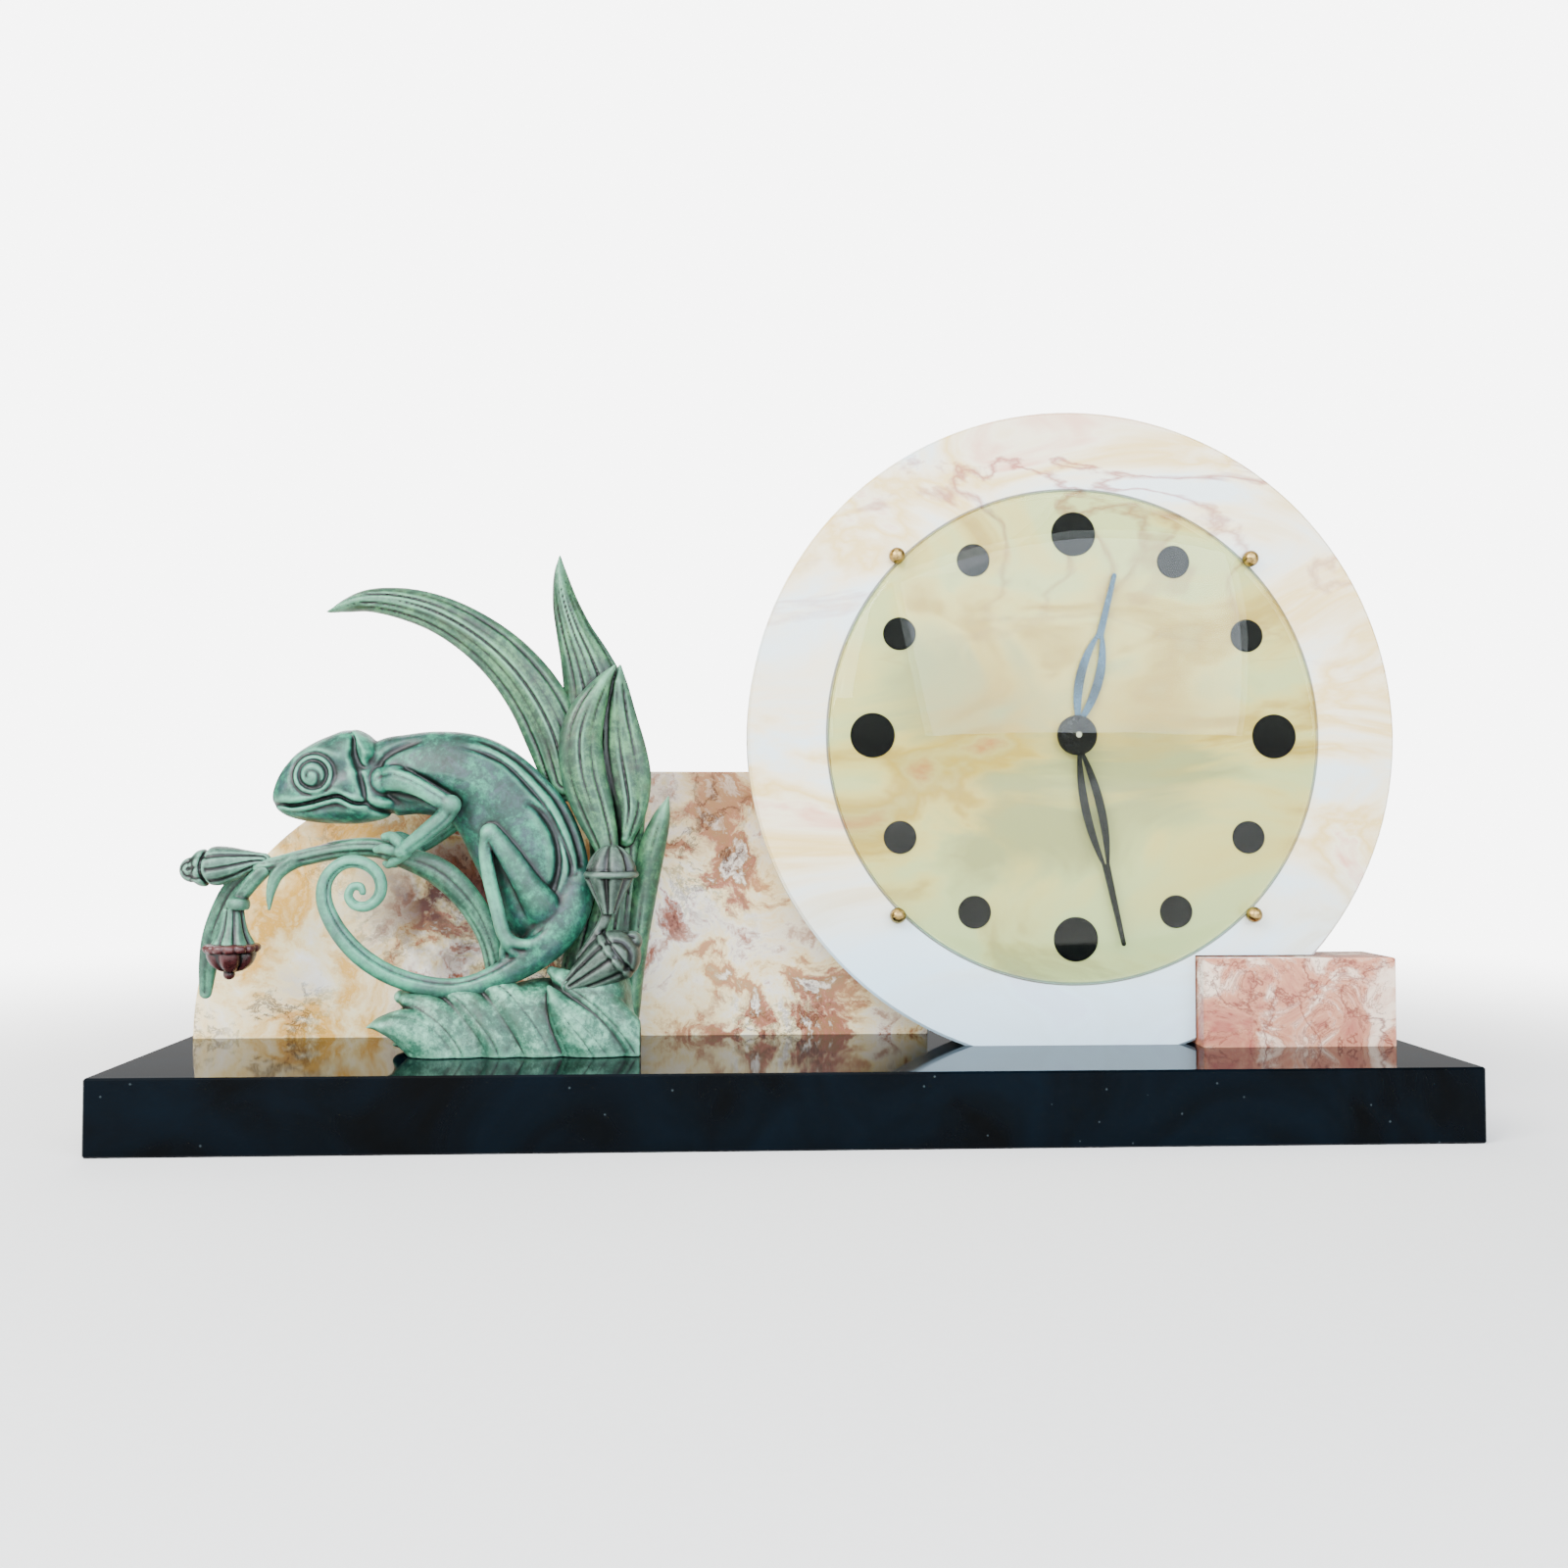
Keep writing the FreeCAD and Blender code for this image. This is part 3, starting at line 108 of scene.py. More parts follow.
def add(tree, kind, inputs=None, stops=None, **settings):
    # Adds one node with its own settings, its inputs by socket, and a ramp's stops.
    made = tree.nodes.new(kind)
    for name, value in settings.items():
        setattr(made, name, value)
    plug(made, inputs or {})
    if stops:
        ramp = made.color_ramp.elements
        while len(ramp) < len(stops):
            ramp.new(1.0)
        for element, (position, code) in zip(ramp, stops):
            element.position = position
            element.color = colour(code)
    return made


def new_finish(name, **constants):
    # A material with its shader, and the shader's constant sockets set on it.
    finish = bpy.data.materials.new(name)
    finish.use_nodes = True
    shader = finish.node_tree.nodes["Principled BSDF"]
    for socket, value in constants.items():
        plug(shader, {socket.replace("_", " ").title().replace("Ior", "IOR"): value})
    return finish, finish.node_tree, shader


def mottle(tree, size, stops, **noise):
    # Cloudy colour: a noise whose size is in millimetres, and the tones along it.
    place = add(tree, "ShaderNodeTexCoord").outputs["Object"]
    marks = add(tree, "ShaderNodeTexNoise", {"Vector": place, "Scale": per_mm(size), **noise})
    return place, marks, add(tree, "ShaderNodeValToRGB", {"Fac": marks}, stops=stops)


def dress(finish, *names):
    # Gives whole frame nodes a finish.
    for name in names:
        for place in nodes[name].material_slots:
            place.material = finish


# Polished black marble: near black, with blue-grey clouds and a few pale specks.
black_marble, tree, shader = new_finish(
    "polished black marble", roughness=BASE_ROUGH, specular_ior_level=0.045
)
place, clouds, cloud_tone = mottle(
    tree, BASE_CLOUD_SIZE, ((0.38, BASE_BLACK), (0.72, BASE_CLOUD)), Detail=6.0, Distortion=1.2
)
specks = add(tree, "ShaderNodeTexVoronoi", {"Vector": place, "Scale": per_mm(BASE_SPECK_GAP)})
is_speck = add(tree, "ShaderNodeMath", {0: specks, 1: BASE_SPECK_SHARE}, operation="LESS_THAN")
tone = add(tree, "ShaderNodeMix", {0: is_speck, 6: cloud_tone, 7: BASE_SPECK}, data_type="RGBA")
wear = add(
    tree, "ShaderNodeMapRange",
    {"Value": clouds, "To Min": BASE_ROUGH * 0.6, "To Max": BASE_ROUGH * 2.0}
)
plug(shader, {"Base Color": tone, "Roughness": wear})
dress(black_marble, "base_slab")


# ------------------------------------------------------------------ back panel
# Behind the casting stands a plate of breccia: honey and pink fragments in
# red-brown cement, polished, with one rounded upper corner.
PANEL_CREAM = "#fbe6ae"
PANEL_HONEY = "#e4aa48"
PANEL_ROSE = "#ae6d58"
PANEL_WHITE = "#fbf3e4"
PANEL_BROWN = "#552a1f"
PANEL_VEIN = "#35100d"
PANEL_TAN = "#98704a"
PANEL_CEMENT_AT = (-0.145, 0.045, 0.105)
PANEL_WARP = (0.020, 0.020, 0.020)


def hairlines(tree, marks, middle, width, strength, core=0.0):
    # Thin lines where a value passes its middle: full over the core, gone at the width.
    gap = add(tree, "ShaderNodeMath", {0: marks, 1: middle}, operation="SUBTRACT")
    size = add(tree, "ShaderNodeMath", {0: gap}, operation="ABSOLUTE")
    fall = {"Value": size, "From Min": core, "From Max": width, "To Min": strength, "To Max": 0.0}
    return add(tree, "ShaderNodeMapRange", fall)


breccia, tree, shader = new_finish(
    "polished breccia marble", roughness=0.18, specular_ior_level=0.3
)
place = add(tree, "ShaderNodeTexCoord").outputs["Object"]
warp = add(
    tree, "ShaderNodeTexNoise",
    {"Vector": place, "Scale": per_mm(30.0), "Detail": 6.0, "Roughness": 0.62}
)
warp_step = add(
    tree, "ShaderNodeVectorMath", {0: warp.outputs["Color"], 1: PANEL_WARP},
    operation="MULTIPLY"
)
bent = add(tree, "ShaderNodeVectorMath", {0: place, 1: warp_step}, operation="ADD")
axes = add(tree, "ShaderNodeSeparateXYZ", {0: place})
patches = add(
    tree, "ShaderNodeTexNoise",
    {"Vector": bent, "Scale": per_mm(38.0), "Detail": 9.0, "Roughness": 0.66, "Distortion": 0.5}
)
# Honey stone at the far left turns to rose and white towards the clock.
honey_tone = add(
    tree, "ShaderNodeValToRGB", {"Fac": patches},
    stops=(
        (0.34, PANEL_WHITE), (0.44, PANEL_CREAM), (0.55, PANEL_HONEY), (0.62, PANEL_CREAM),
        (0.72, PANEL_ROSE)
    )
)
rose_tone = add(
    tree, "ShaderNodeValToRGB", {"Fac": patches},
    stops=(
        (0.34, PANEL_BROWN), (0.40, PANEL_ROSE), (0.45, PANEL_WHITE), (0.51, PANEL_CREAM),
        (0.56, PANEL_ROSE), (0.60, PANEL_TAN), (0.64, PANEL_WHITE), (0.70, PANEL_BROWN)
    )
)
across = add(
    tree, "ShaderNodeMapRange",
    {"Value": axes.outputs["X"], "From Min": -0.215, "From Max": -0.165},
    interpolation_type="SMOOTHSTEP"
)
side_noise = add(tree, "ShaderNodeTexNoise", {"Vector": bent, "Scale": per_mm(60.0), "Detail": 3.0})
side_step = add(
    tree, "ShaderNodeMapRange",
    {"Value": side_noise, "From Min": 0.35, "From Max": 0.65, "To Min": -0.35, "To Max": 0.35}
)
share = add(tree, "ShaderNodeMath", {0: across, 1: side_step}, operation="ADD", use_clamp=True)
base_tone = add(tree, "ShaderNodeMix", {0: share, 6: honey_tone, 7: rose_tone}, data_type="RGBA")
# Red-brown cement gathers behind the tail, in the middle of the left half.
cement_at = add(tree, "ShaderNodeVectorMath", {0: bent, 1: PANEL_CEMENT_AT}, operation="DISTANCE")
cement_share = add(
    tree, "ShaderNodeMapRange",
    {"Value": cement_at, "From Min": 0.016, "From Max": 0.052, "To Min": 1.0, "To Max": 0.0}
)
cement_noise = add(tree, "ShaderNodeMapRange", {"Value": warp, "From Min": 0.36, "From Max": 0.50})
cement = add(tree, "ShaderNodeMath", {0: cement_share, 1: cement_noise}, operation="MULTIPLY")
cemented = add(tree, "ShaderNodeMix", {0: cement, 6: base_tone, 7: PANEL_BROWN}, data_type="RGBA")
# A tan crust lies along the plate's upper edge.
crust_high = add(
    tree, "ShaderNodeMapRange", {"Value": axes.outputs["Z"], "From Min": 0.100, "From Max": 0.145}
)
crust_noise = add(
    tree, "ShaderNodeMapRange",
    {"Value": side_noise, "From Min": 0.40, "From Max": 0.62, "To Min": 0.2, "To Max": 0.9}
)
crust = add(tree, "ShaderNodeMath", {0: crust_high, 1: crust_noise}, operation="MULTIPLY")
crusted = add(tree, "ShaderNodeMix", {0: crust, 6: cemented, 7: PANEL_TAN}, data_type="RGBA")
# Fine dark seams wander between the fragments.
seams = add(
    tree, "ShaderNodeTexNoise",
    {"Vector": bent, "Scale": per_mm(26.0), "Detail": 10.0, "Roughness": 0.7, "Distortion": 0.4}
)
seam_line = hairlines(tree, seams, 0.5, 0.034, 1.0)
seam_where = add(
    tree, "ShaderNodeMapRange",
    {"Value": side_noise, "From Min": 0.42, "From Max": 0.60, "To Max": 0.85}
)
seam = add(tree, "ShaderNodeMath", {0: seam_line, 1: seam_where}, operation="MULTIPLY")
tone = add(tree, "ShaderNodeMix", {0: seam, 6: crusted, 7: PANEL_VEIN}, data_type="RGBA")
plug(shader, {"Base Color": tone})
dress(breccia, "back_panel")


# ------------------------------------------------------------------ clock disc
# The clock's body is a round slab of onyx, cut flat where it meets the base
# and the side block. It is creamy, with honey clouds and a few red veins.
ONYX_CREAM = "#f6e8c6"
ONYX_HONEY = "#eacb84"
ONYX_PINK = "#e8ab8e"
ONYX_WHITE = "#e3eeec"
ONYX_VEIN = "#9a3f33"
ONYX_COOL_SHADE = "#c6e7fa"
ONYX_GLASS_SHADE = "#d0c678"
ONYX_TREE_REFLECTION = "#93862c"
ONYX_EDGE_DARK = "#57544a"
# Painted reflections of trees under the glass, as khaki clouds: place across, height and radius of
# each.
TREE_REFLECTION_PATCHES = ((0.084, 0.178, 0.034), (0.163, 0.168, 0.026), (0.100, 0.134, 0.016))
DIAL_CENTRE = (0.1275, 0.0, 0.170)
GLASS_OUTER = 0.1118

onyx, tree, shader = new_finish("polished cream onyx", roughness=0.16, specular_ior_level=0.4)
place = add(tree, "ShaderNodeTexCoord").outputs["Object"]
warp = add(
    tree, "ShaderNodeTexNoise",
    {"Vector": place, "Scale": per_mm(70.0), "Detail": 4.0, "Roughness": 0.55}
)
slant = add(
    tree, "ShaderNodeMapping",
    {"Vector": place, "Rotation": (0.0, math.radians(24.0), 0.0), "Scale": (1.0, 1.0, 2.1)}
)
clouds = add(
    tree, "ShaderNodeTexNoise",
    {"Vector": slant, "Scale": per_mm(95.0), "Detail": 5.0, "Roughness": 0.52, "Distortion": 1.1}
)
onyx_tone = add(
    tree, "ShaderNodeValToRGB", {"Fac": clouds},
    stops=(
        (0.40, ONYX_WHITE), (0.50, ONYX_CREAM), (0.58, ONYX_HONEY), (0.64, ONYX_CREAM),
        (0.70, ONYX_PINK)
    )
)
axes = add(tree, "ShaderNodeSeparateXYZ", {0: place})
# The lowest part of the slab is painted a cooler white: a painted blue-grey shade and reflection.
low_painted_shade = add(
    tree, "ShaderNodeMapRange",
    {
        "Value": axes.outputs["Z"], "From Min": 0.055, "From Max": 0.115, "To Min": 0.85,
        "To Max": 0.0
    }
)
stone = add(tree, "ShaderNodeMix", {0: low_painted_shade, 6: onyx_tone, 7: ONYX_COOL_SHADE}, data_type="RGBA")
veins = add(
    tree, "ShaderNodeTexNoise",
    {"Vector": slant, "Scale": per_mm(120.0), "Detail": 6.0, "Roughness": 0.5, "Distortion": 0.6}
)
vein_line = hairlines(tree, veins, 0.5, 0.020, 1.0)
vein_where = add(
    tree, "ShaderNodeMapRange",
    {"Value": axes.outputs["Z"], "From Min": 0.19, "From Max": 0.29, "To Min": 0.0, "To Max": 0.8}
)
vein = add(tree, "ShaderNodeMath", {0: vein_line, 1: vein_where}, operation="MULTIPLY")
veined = add(tree, "ShaderNodeMix", {0: vein, 6: stone, 7: ONYX_VEIN}, data_type="RGBA")
# Under the glass the stone is painted a darker, greener khaki: a painted shade of the glass, with
# painted reflections of trees in it.
from_centre = add(tree, "ShaderNodeVectorMath", {0: place, 1: DIAL_CENTRE}, operation="DISTANCE")
under_glass = add(
    tree, "ShaderNodeMapRange",
    {
        "Value": from_centre, "From Min": GLASS_OUTER - 0.0014, "From Max": GLASS_OUTER - 0.0006,
        "To Min": 0.85, "To Max": 0.0
    }
)
# The painted shade and reflections stay on the stone's front, off its back and edge.
disc_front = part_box("clock_disc")[0].y
at_front = add(
    tree, "ShaderNodeMapRange",
    {
        "Value": axes.outputs["Y"], "From Min": disc_front + 0.0010,
        "From Max": disc_front + 0.0025, "To Min": 1.0, "To Max": 0.0
    }
)
glass_shade_share = add(tree, "ShaderNodeMath", {0: under_glass, 1: at_front}, operation="MULTIPLY")
tree_reflection_share = add(
    tree, "ShaderNodeMapRange", {"Value": clouds, "From Min": 0.47, "From Max": 0.60, "To Max": 0.6}
)
for across, height, radius in TREE_REFLECTION_PATCHES:
    cloud_gap = add(
        tree, "ShaderNodeVectorMath", {0: place, 1: (across, disc_front, height)},
        operation="DISTANCE"
    )
    ragged_gap = add(
        tree, "ShaderNodeMath", {0: clouds, 1: 0.17, 2: cloud_gap}, operation="MULTIPLY_ADD"
    )
    tree_reflection_patch = add(
        tree, "ShaderNodeMapRange",
        {
            "Value": ragged_gap, "From Min": radius + 0.068, "From Max": radius + 0.098,
            "To Min": 0.9, "To Max": 0.0
        }
    )
    tree_reflection_share = add(tree, "ShaderNodeMath", {0: tree_reflection_share, 1: tree_reflection_patch}, operation="MAXIMUM")
# Painted glass shade, with the painted tree reflections mixed in.
glass_shade_tone = add(
    tree, "ShaderNodeMix", {0: tree_reflection_share, 6: ONYX_GLASS_SHADE, 7: ONYX_TREE_REFLECTION}, data_type="RGBA"
)
tone = add(
    tree, "ShaderNodeMix", {0: glass_shade_share, 6: veined, 7: glass_shade_tone}, data_type="RGBA",
    blend_type="MULTIPLY"
)
# A thin dark line is painted on the stone just outside the glass's edge.
edge_line = hairlines(tree, from_centre, GLASS_OUTER + 0.0003, 0.0006, 0.9, core=0.0002)
edge_dark = add(tree, "ShaderNodeMath", {0: edge_line, 1: at_front}, operation="MULTIPLY")
lined = add(tree, "ShaderNodeMix", {0: edge_dark, 6: tone, 7: ONYX_EDGE_DARK}, data_type="RGBA")
plug(shader, {"Base Color": lined})
dress(onyx, "clock_disc")


# ------------------------------------------------------------------ side block
# A small block of salmon-pink marble closes the disc's right foot.
BLOCK_SALMON = "#c78a6c"
BLOCK_PALE = "#ecd3bb"
BLOCK_RED = "#a65c4e"
BLOCK_VEIN = "#6d2f2a"
BLOCK_CLOUD_SIZE = 24.0
BLOCK_THREAD_SIZE = 34.0

rose_marble, tree, shader = new_finish(
    "polished rose marble", roughness=0.2, specular_ior_level=0.35
)
block_stops = ((0.41, BLOCK_PALE), (0.53, BLOCK_SALMON), (0.68, BLOCK_RED))
place, clouds, block_tone = mottle(
    tree, BLOCK_CLOUD_SIZE, block_stops, Detail=8.0, Roughness=0.65, Distortion=1.0
)
cracks = add(
    tree, "ShaderNodeTexVoronoi", {"Vector": clouds.outputs["Color"], "Scale": 4.5},
    feature="DISTANCE_TO_EDGE"
)
crack = add(
    tree, "ShaderNodeMapRange",
    {"Value": cracks, "From Min": 0.0, "From Max": 0.05, "To Min": 0.7, "To Max": 0.0}
)
threads = add(
    tree, "ShaderNodeTexNoise",
    {
        "Vector": place, "Scale": per_mm(BLOCK_THREAD_SIZE), "Detail": 9.0, "Roughness": 0.62,
        "Distortion": 0.5
    }
)
thread = hairlines(tree, threads, 0.5, 0.022, 0.85)
veining = add(tree, "ShaderNodeMath", {0: crack, 1: thread}, operation="MAXIMUM")
tone = add(tree, "ShaderNodeMix", {0: veining, 6: block_tone, 7: BLOCK_VEIN}, data_type="RGBA")
plug(shader, {"Base Color": tone})
dress(rose_marble, "side_block")


# ------------------------------------------------------------------ hour dots
# Twelve discs of polished black glass sit in shallow holes drilled in the stone,
# cemented in and standing a little proud of it.
DOT_BLACK = "#030406"
DOT_DUST = "#101318"
DOT_DUST_SIZE = 1.6
DOTS = [f"hour_dot_{hour:02d}" for hour in range(1, 13)]

black_glass, tree, shader = new_finish(
    "polished black glass", roughness=0.1, specular_ior_level=0.04
)
_, dust, dust_tone = mottle(tree, DOT_DUST_SIZE, ((0.6, DOT_BLACK), (0.8, DOT_DUST)), Detail=5.0)
dust_rough = add(
    tree, "ShaderNodeMapRange",
    {"Value": dust, "From Min": 0.4, "From Max": 0.8, "To Min": 0.06, "To Max": 0.22}
)
plug(shader, {"Base Color": dust_tone, "Roughness": dust_rough})
dress(black_glass, *DOTS)


# ------------------------------------------------------------------ dial glass
# A domed crystal, slumped from green-tinged sheet glass and ground round, lies
# on the stone over the dial. Its edge is held by four brass studs.
GLASS_TINT = "#f1f4e6"
GLASS_SEGMENTS = 160
GLASS_RINGS = 40
GLASS_EDGE = 0.0010
GLASS_WALL = 0.0024
GLASS_LAND = 0.0012

glass_low, glass_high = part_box("dial_glass")
glass_foot = glass_high.y
glass_rise = glass_high.y - glass_low.y - GLASS_WALL
glass_rim = GLASS_OUTER - GLASS_LAND


def turned(name, profile, centre, segments, finish):
    # A shape turned about the clock's axis: profile is radius and depth, from the
    # axis outwards and back, and closes itself.
    points = []
    rings = []
    turns = [math.tau * step / segments for step in range(segments)]
    for radius, depth in profile:
        start = len(points)
        if radius == 0.0:
            points.append((centre[0], depth, centre[2]))
            rings.append([start] * segments)
            continue
        for turn in turns:
            across = centre[0] + radius * math.cos(turn)
            points.append((across, depth, centre[2] + radius * math.sin(turn)))
        rings.append(range(start, start + segments))
    faces = []
    for one, two in zip(rings, rings[1:]):
        for step in range(segments):
            after = (step + 1) % segments
            corners = [one[step], one[after], two[after], two[step]]
            kept = list(dict.fromkeys(corners))
            if len(kept) > 2:
                faces.append(kept)
    mesh = bpy.data.meshes.new(name)
    mesh.from_pydata(points, [], faces)
    mesh.update()
    volume = sum(f.center.dot(f.normal) * f.area for f in mesh.polygons)
    if volume < 0:
        mesh.flip_normals()
    mesh.shade_smooth()
    mesh.materials.append(finish)
    return stand(name, mesh)


def dome(rim, rise, foot):
    # A spherical cap's section from its axis out to its rim, which lies at the foot.
    ball = (rim**2 + rise**2) / (2.0 * rise)
    radii = [rim * step / GLASS_RINGS for step in range(GLASS_RINGS + 1)]
    return [(r, foot - (math.sqrt(ball**2 - r**2) - (ball - rise))) for r in radii]


# Outside out to the ground edge, then back inside.
glass_profile = dome(GLASS_OUTER, glass_rise + GLASS_WALL - GLASS_EDGE, glass_foot - GLASS_EDGE)
glass_profile.append((GLASS_OUTER, glass_foot))
glass_profile += dome(glass_rim, glass_rise, glass_foot)[::-1]

# Old sheet glass: clear, faintly green, with a very slight unevenness.
crystal, tree, shader = new_finish(
    "old domed glass", roughness=0.0, transmission_weight=1.0, ior=1.29, base_color=GLASS_TINT
)
place = add(tree, "ShaderNodeTexCoord").outputs["Object"]
waves = add(tree, "ShaderNodeTexNoise", {"Vector": place, "Scale": per_mm(45.0), "Detail": 1.0})
uneven = add(tree, "ShaderNodeBump", {"Height": waves, "Strength": 0.12, "Distance": 0.0008})
plug(shader, {"Normal": uneven})
# Light passes straight through to the dial, as it does through thin glass.
light_path = add(tree, "ShaderNodeLightPath")
clear = add(tree, "ShaderNodeBsdfTransparent", {"Color": GLASS_TINT})
passing = add(
    tree, "ShaderNodeMixShader", {0: light_path.outputs["Is Shadow Ray"], 1: shader, 2: clear}
)
plug(tree.nodes["Material Output"], {"Surface": passing})

glass = turned("glass_dome", glass_profile, DIAL_CENTRE, GLASS_SEGMENTS, crystal)
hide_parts("dial_glass")
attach(glass, "root")


# ------------------------------------------------------------------ glass studs
# Four round-headed brass nails, turned and lacquered, are driven into the stone
# round the glass. Their heads lap over its edge, and a painted shade darkens each head towards its
# outline.
STUD_RING = 0.114
STUD_HEAD = 0.0036
STUD_STEM = 0.0012
STUD_COLLAR = 0.0010
STUD_SHANK = 0.0066
STUD_POINT = 0.0078
HEAD_STEPS = 8
STUD_COUNT = 4
STUD_SLICES = 28
BRASS_YELLOW = "#c9a865"
BRASS_BROWN = "#6e5a33"
BRASS_OUTLINE_SHADE = "#3d3020"
TARNISH_SIZE = 2.2

aged_brass, tree, shader = new_finish("aged turned brass", metallic=1.0, roughness=0.3)
_, tarnish, brass_tone = mottle(
    tree, TARNISH_SIZE, ((0.35, BRASS_BROWN), (0.6, BRASS_YELLOW)), Detail=5.0, Roughness=0.6
)
# Painted shade: each head darkens where it turns away from the view.
outline_facing = add(tree, "ShaderNodeLayerWeight", {"Blend": 0.35})
tone = add(
    tree, "ShaderNodeMix", {0: outline_facing.outputs["Facing"], 6: brass_tone, 7: BRASS_OUTLINE_SHADE},
    data_type="RGBA"
)
brass_rough = add(
    tree, "ShaderNodeMapRange",
    {"Value": tarnish, "From Min": 0.3, "From Max": 0.7, "To Min": 0.2, "To Max": 0.42}
)
plug(shader, {"Base Color": tone, "Roughness": brass_rough})

# One nail, turned about its own axis: a domed head with a small collar and a stem.
head_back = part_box("glass_studs")[0].y + STUD_COLLAR + STUD_HEAD
nail_profile = []
for step in range(HEAD_STEPS + 1):
    turn = math.pi / 2.0 * step / HEAD_STEPS
    nail_profile.append(
        (STUD_HEAD * math.sin(turn), head_back - STUD_COLLAR - STUD_HEAD * math.cos(turn))
    )
nail_profile += [
    (STUD_HEAD, head_back - 0.0002), (STUD_HEAD - 0.0003, head_back), (STUD_STEM, head_back),
    (STUD_STEM, head_back + STUD_SHANK), (0.0, head_back + STUD_POINT)
]
nail = turned("one_nail", nail_profile, (0.0, 0.0, 0.0), STUD_SLICES, aged_brass)


def geometry_tree(name, sizes):
    # An empty node tree with its named size inputs.
    made = bpy.data.node_groups.new(name, "GeometryNodeTree")
    made.interface.new_socket("Geometry", in_out="INPUT", socket_type="NodeSocketGeometry")
    made.interface.new_socket("Geometry", in_out="OUTPUT", socket_type="NodeSocketGeometry")
    for title, kind in sizes:
        made.interface.new_socket(title, in_out="INPUT", socket_type=kind)
    return made, made.nodes.new("NodeGroupInput"), made.nodes.new("NodeGroupOutput")


def grown(name, tree, values):
    # Runs a node tree once and keeps its result as a plain mesh.
    host = stand(name + "_host", bpy.data.meshes.new(name + "_host"))
    worker = host.modifiers.new("grow", "NODES")
    worker.node_group = tree
    for item in tree.interface.items_tree:
        if item.item_type == "SOCKET" and item.in_out == "INPUT" and item.name in values:
            worker[item.identifier] = values[item.name]
    bpy.context.view_layer.update()
    ready = host.evaluated_get(bpy.context.evaluated_depsgraph_get())
    mesh = bpy.data.meshes.new_from_object(ready)
    mesh.name = name
    host.modifiers.clear()
    bpy.data.objects.remove(host)
    return stand(name, mesh)


tree, given, result = geometry_tree(
    "nails on a ring",
    (
        ("Nail", "NodeSocketObject"), ("Count", "NodeSocketInt"),
        ("Ring Radius", "NodeSocketFloat"), ("Centre", "NodeSocketVector"),
        ("Finish", "NodeSocketMaterial")
    )
)
ring = add(
    tree, "GeometryNodeMeshCircle",
    {"Vertices": given.outputs["Count"], "Radius": given.outputs["Ring Radius"]}
)
# The ring is drawn flat, stood up on the dial and turned an eighth of a turn.
upright = add(
    tree, "GeometryNodeTransform",
    {
        "Geometry": ring, "Translation": given.outputs["Centre"],
        "Rotation": (math.radians(90.0), math.radians(45.0), 0.0)
    }
)
one_nail = add(tree, "GeometryNodeObjectInfo", {"Object": given.outputs["Nail"]})
nails = add(
    tree, "GeometryNodeInstanceOnPoints",
    {"Points": upright, "Instance": one_nail.outputs["Geometry"]}
)
solid = add(tree, "GeometryNodeRealizeInstances", {0: nails})
coated = add(tree, "GeometryNodeSetMaterial", {0: solid, "Material": given.outputs["Finish"]})
plug(result, {0: coated})
studs = grown(
    "glass_nails", tree,
    {
        "Nail": nail, "Count": STUD_COUNT, "Ring Radius": STUD_RING, "Centre": DIAL_CENTRE,
        "Finish": aged_brass
    }
)
bpy.data.objects.remove(nail)
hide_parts("glass_studs")
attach(studs, "root")


# ------------------------------------------------------------------ hands
# Two open leaf hands, pressed from thin steel, polished and blued over a flame.
# They ride on the motion work's pipes; the minute hand lies in front.
HAND_DEEP_BLUE = "#27384c"
HAND_PALE_BLUE = "#4a6b8e"
HAND_SOOT = "#020304"
HAND_GREY = "#0a0d12"
HAND_TEMPER_SIZE = 30.0
HAND_WEAR_SIZE = 1.2
HAND_SOOT_SIZE = 9.0

blued_steel, tree, shader = new_finish("flame-blued steel", metallic=0.85, roughness=0.3)
temper_stops = ((0.3, HAND_DEEP_BLUE), (0.7, HAND_PALE_BLUE))
place, _, steel_tone = mottle(tree, HAND_TEMPER_SIZE, temper_stops, Detail=3.0)
wear = add(
    tree, "ShaderNodeTexNoise", {"Vector": place, "Scale": per_mm(HAND_WEAR_SIZE), "Detail": 4.0}
)
wear_rough = add(
    tree, "ShaderNodeMapRange",
    {"Value": wear, "From Min": 0.3, "From Max": 0.7, "To Min": 0.22, "To Max": 0.42}
)
plug(shader, {"Base Color": steel_tone, "Roughness": wear_rough})
dress(blued_steel, "hour_hand")

# The minute hand was left longer in the flame and is nearly black.
dark_steel, tree, shader = new_finish(
    "flame-blackened steel", metallic=0.0, roughness=0.4, specular_ior_level=0.15
)
soot_stops = ((0.35, HAND_SOOT), (0.7, HAND_GREY))
_, _, steel_tone = mottle(tree, HAND_SOOT_SIZE, soot_stops, Detail=6.0)
plug(shader, {"Base Color": steel_tone})
dress(dark_steel, "minute_hand")


# ------------------------------------------------------------------ hub cap
# A turned cap nut, lacquered black, screws on the arbor's end and holds the
# hands. Its face is stepped, with a painted highlight as a small bright spot at its centre.
CAP_BLACK = "#040507"
CAP_CHIP = "#121418"
CAP_HIGHLIGHT = "#b9b8ae"
CAP_SEGMENTS = 64
# The cap's section from front to back, as shares of its radius and its length.
CAP_STEPS = (
    (0.0, 0.0), (0.12, 0.01), (0.15, 0.10), (0.42, 0.14), (0.46, 0.24), (0.70, 0.30), (0.88, 0.42),
    (0.97, 0.60), (1.0, 0.80), (1.0, 1.0), (0.3, 1.0), (0.0, 1.0)
)

cap_low, cap_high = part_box("hand_cap")
cap_radius = (cap_high.x - cap_low.x) / 2.0
cap_front = cap_low.y
cap_length = cap_high.y - cap_front

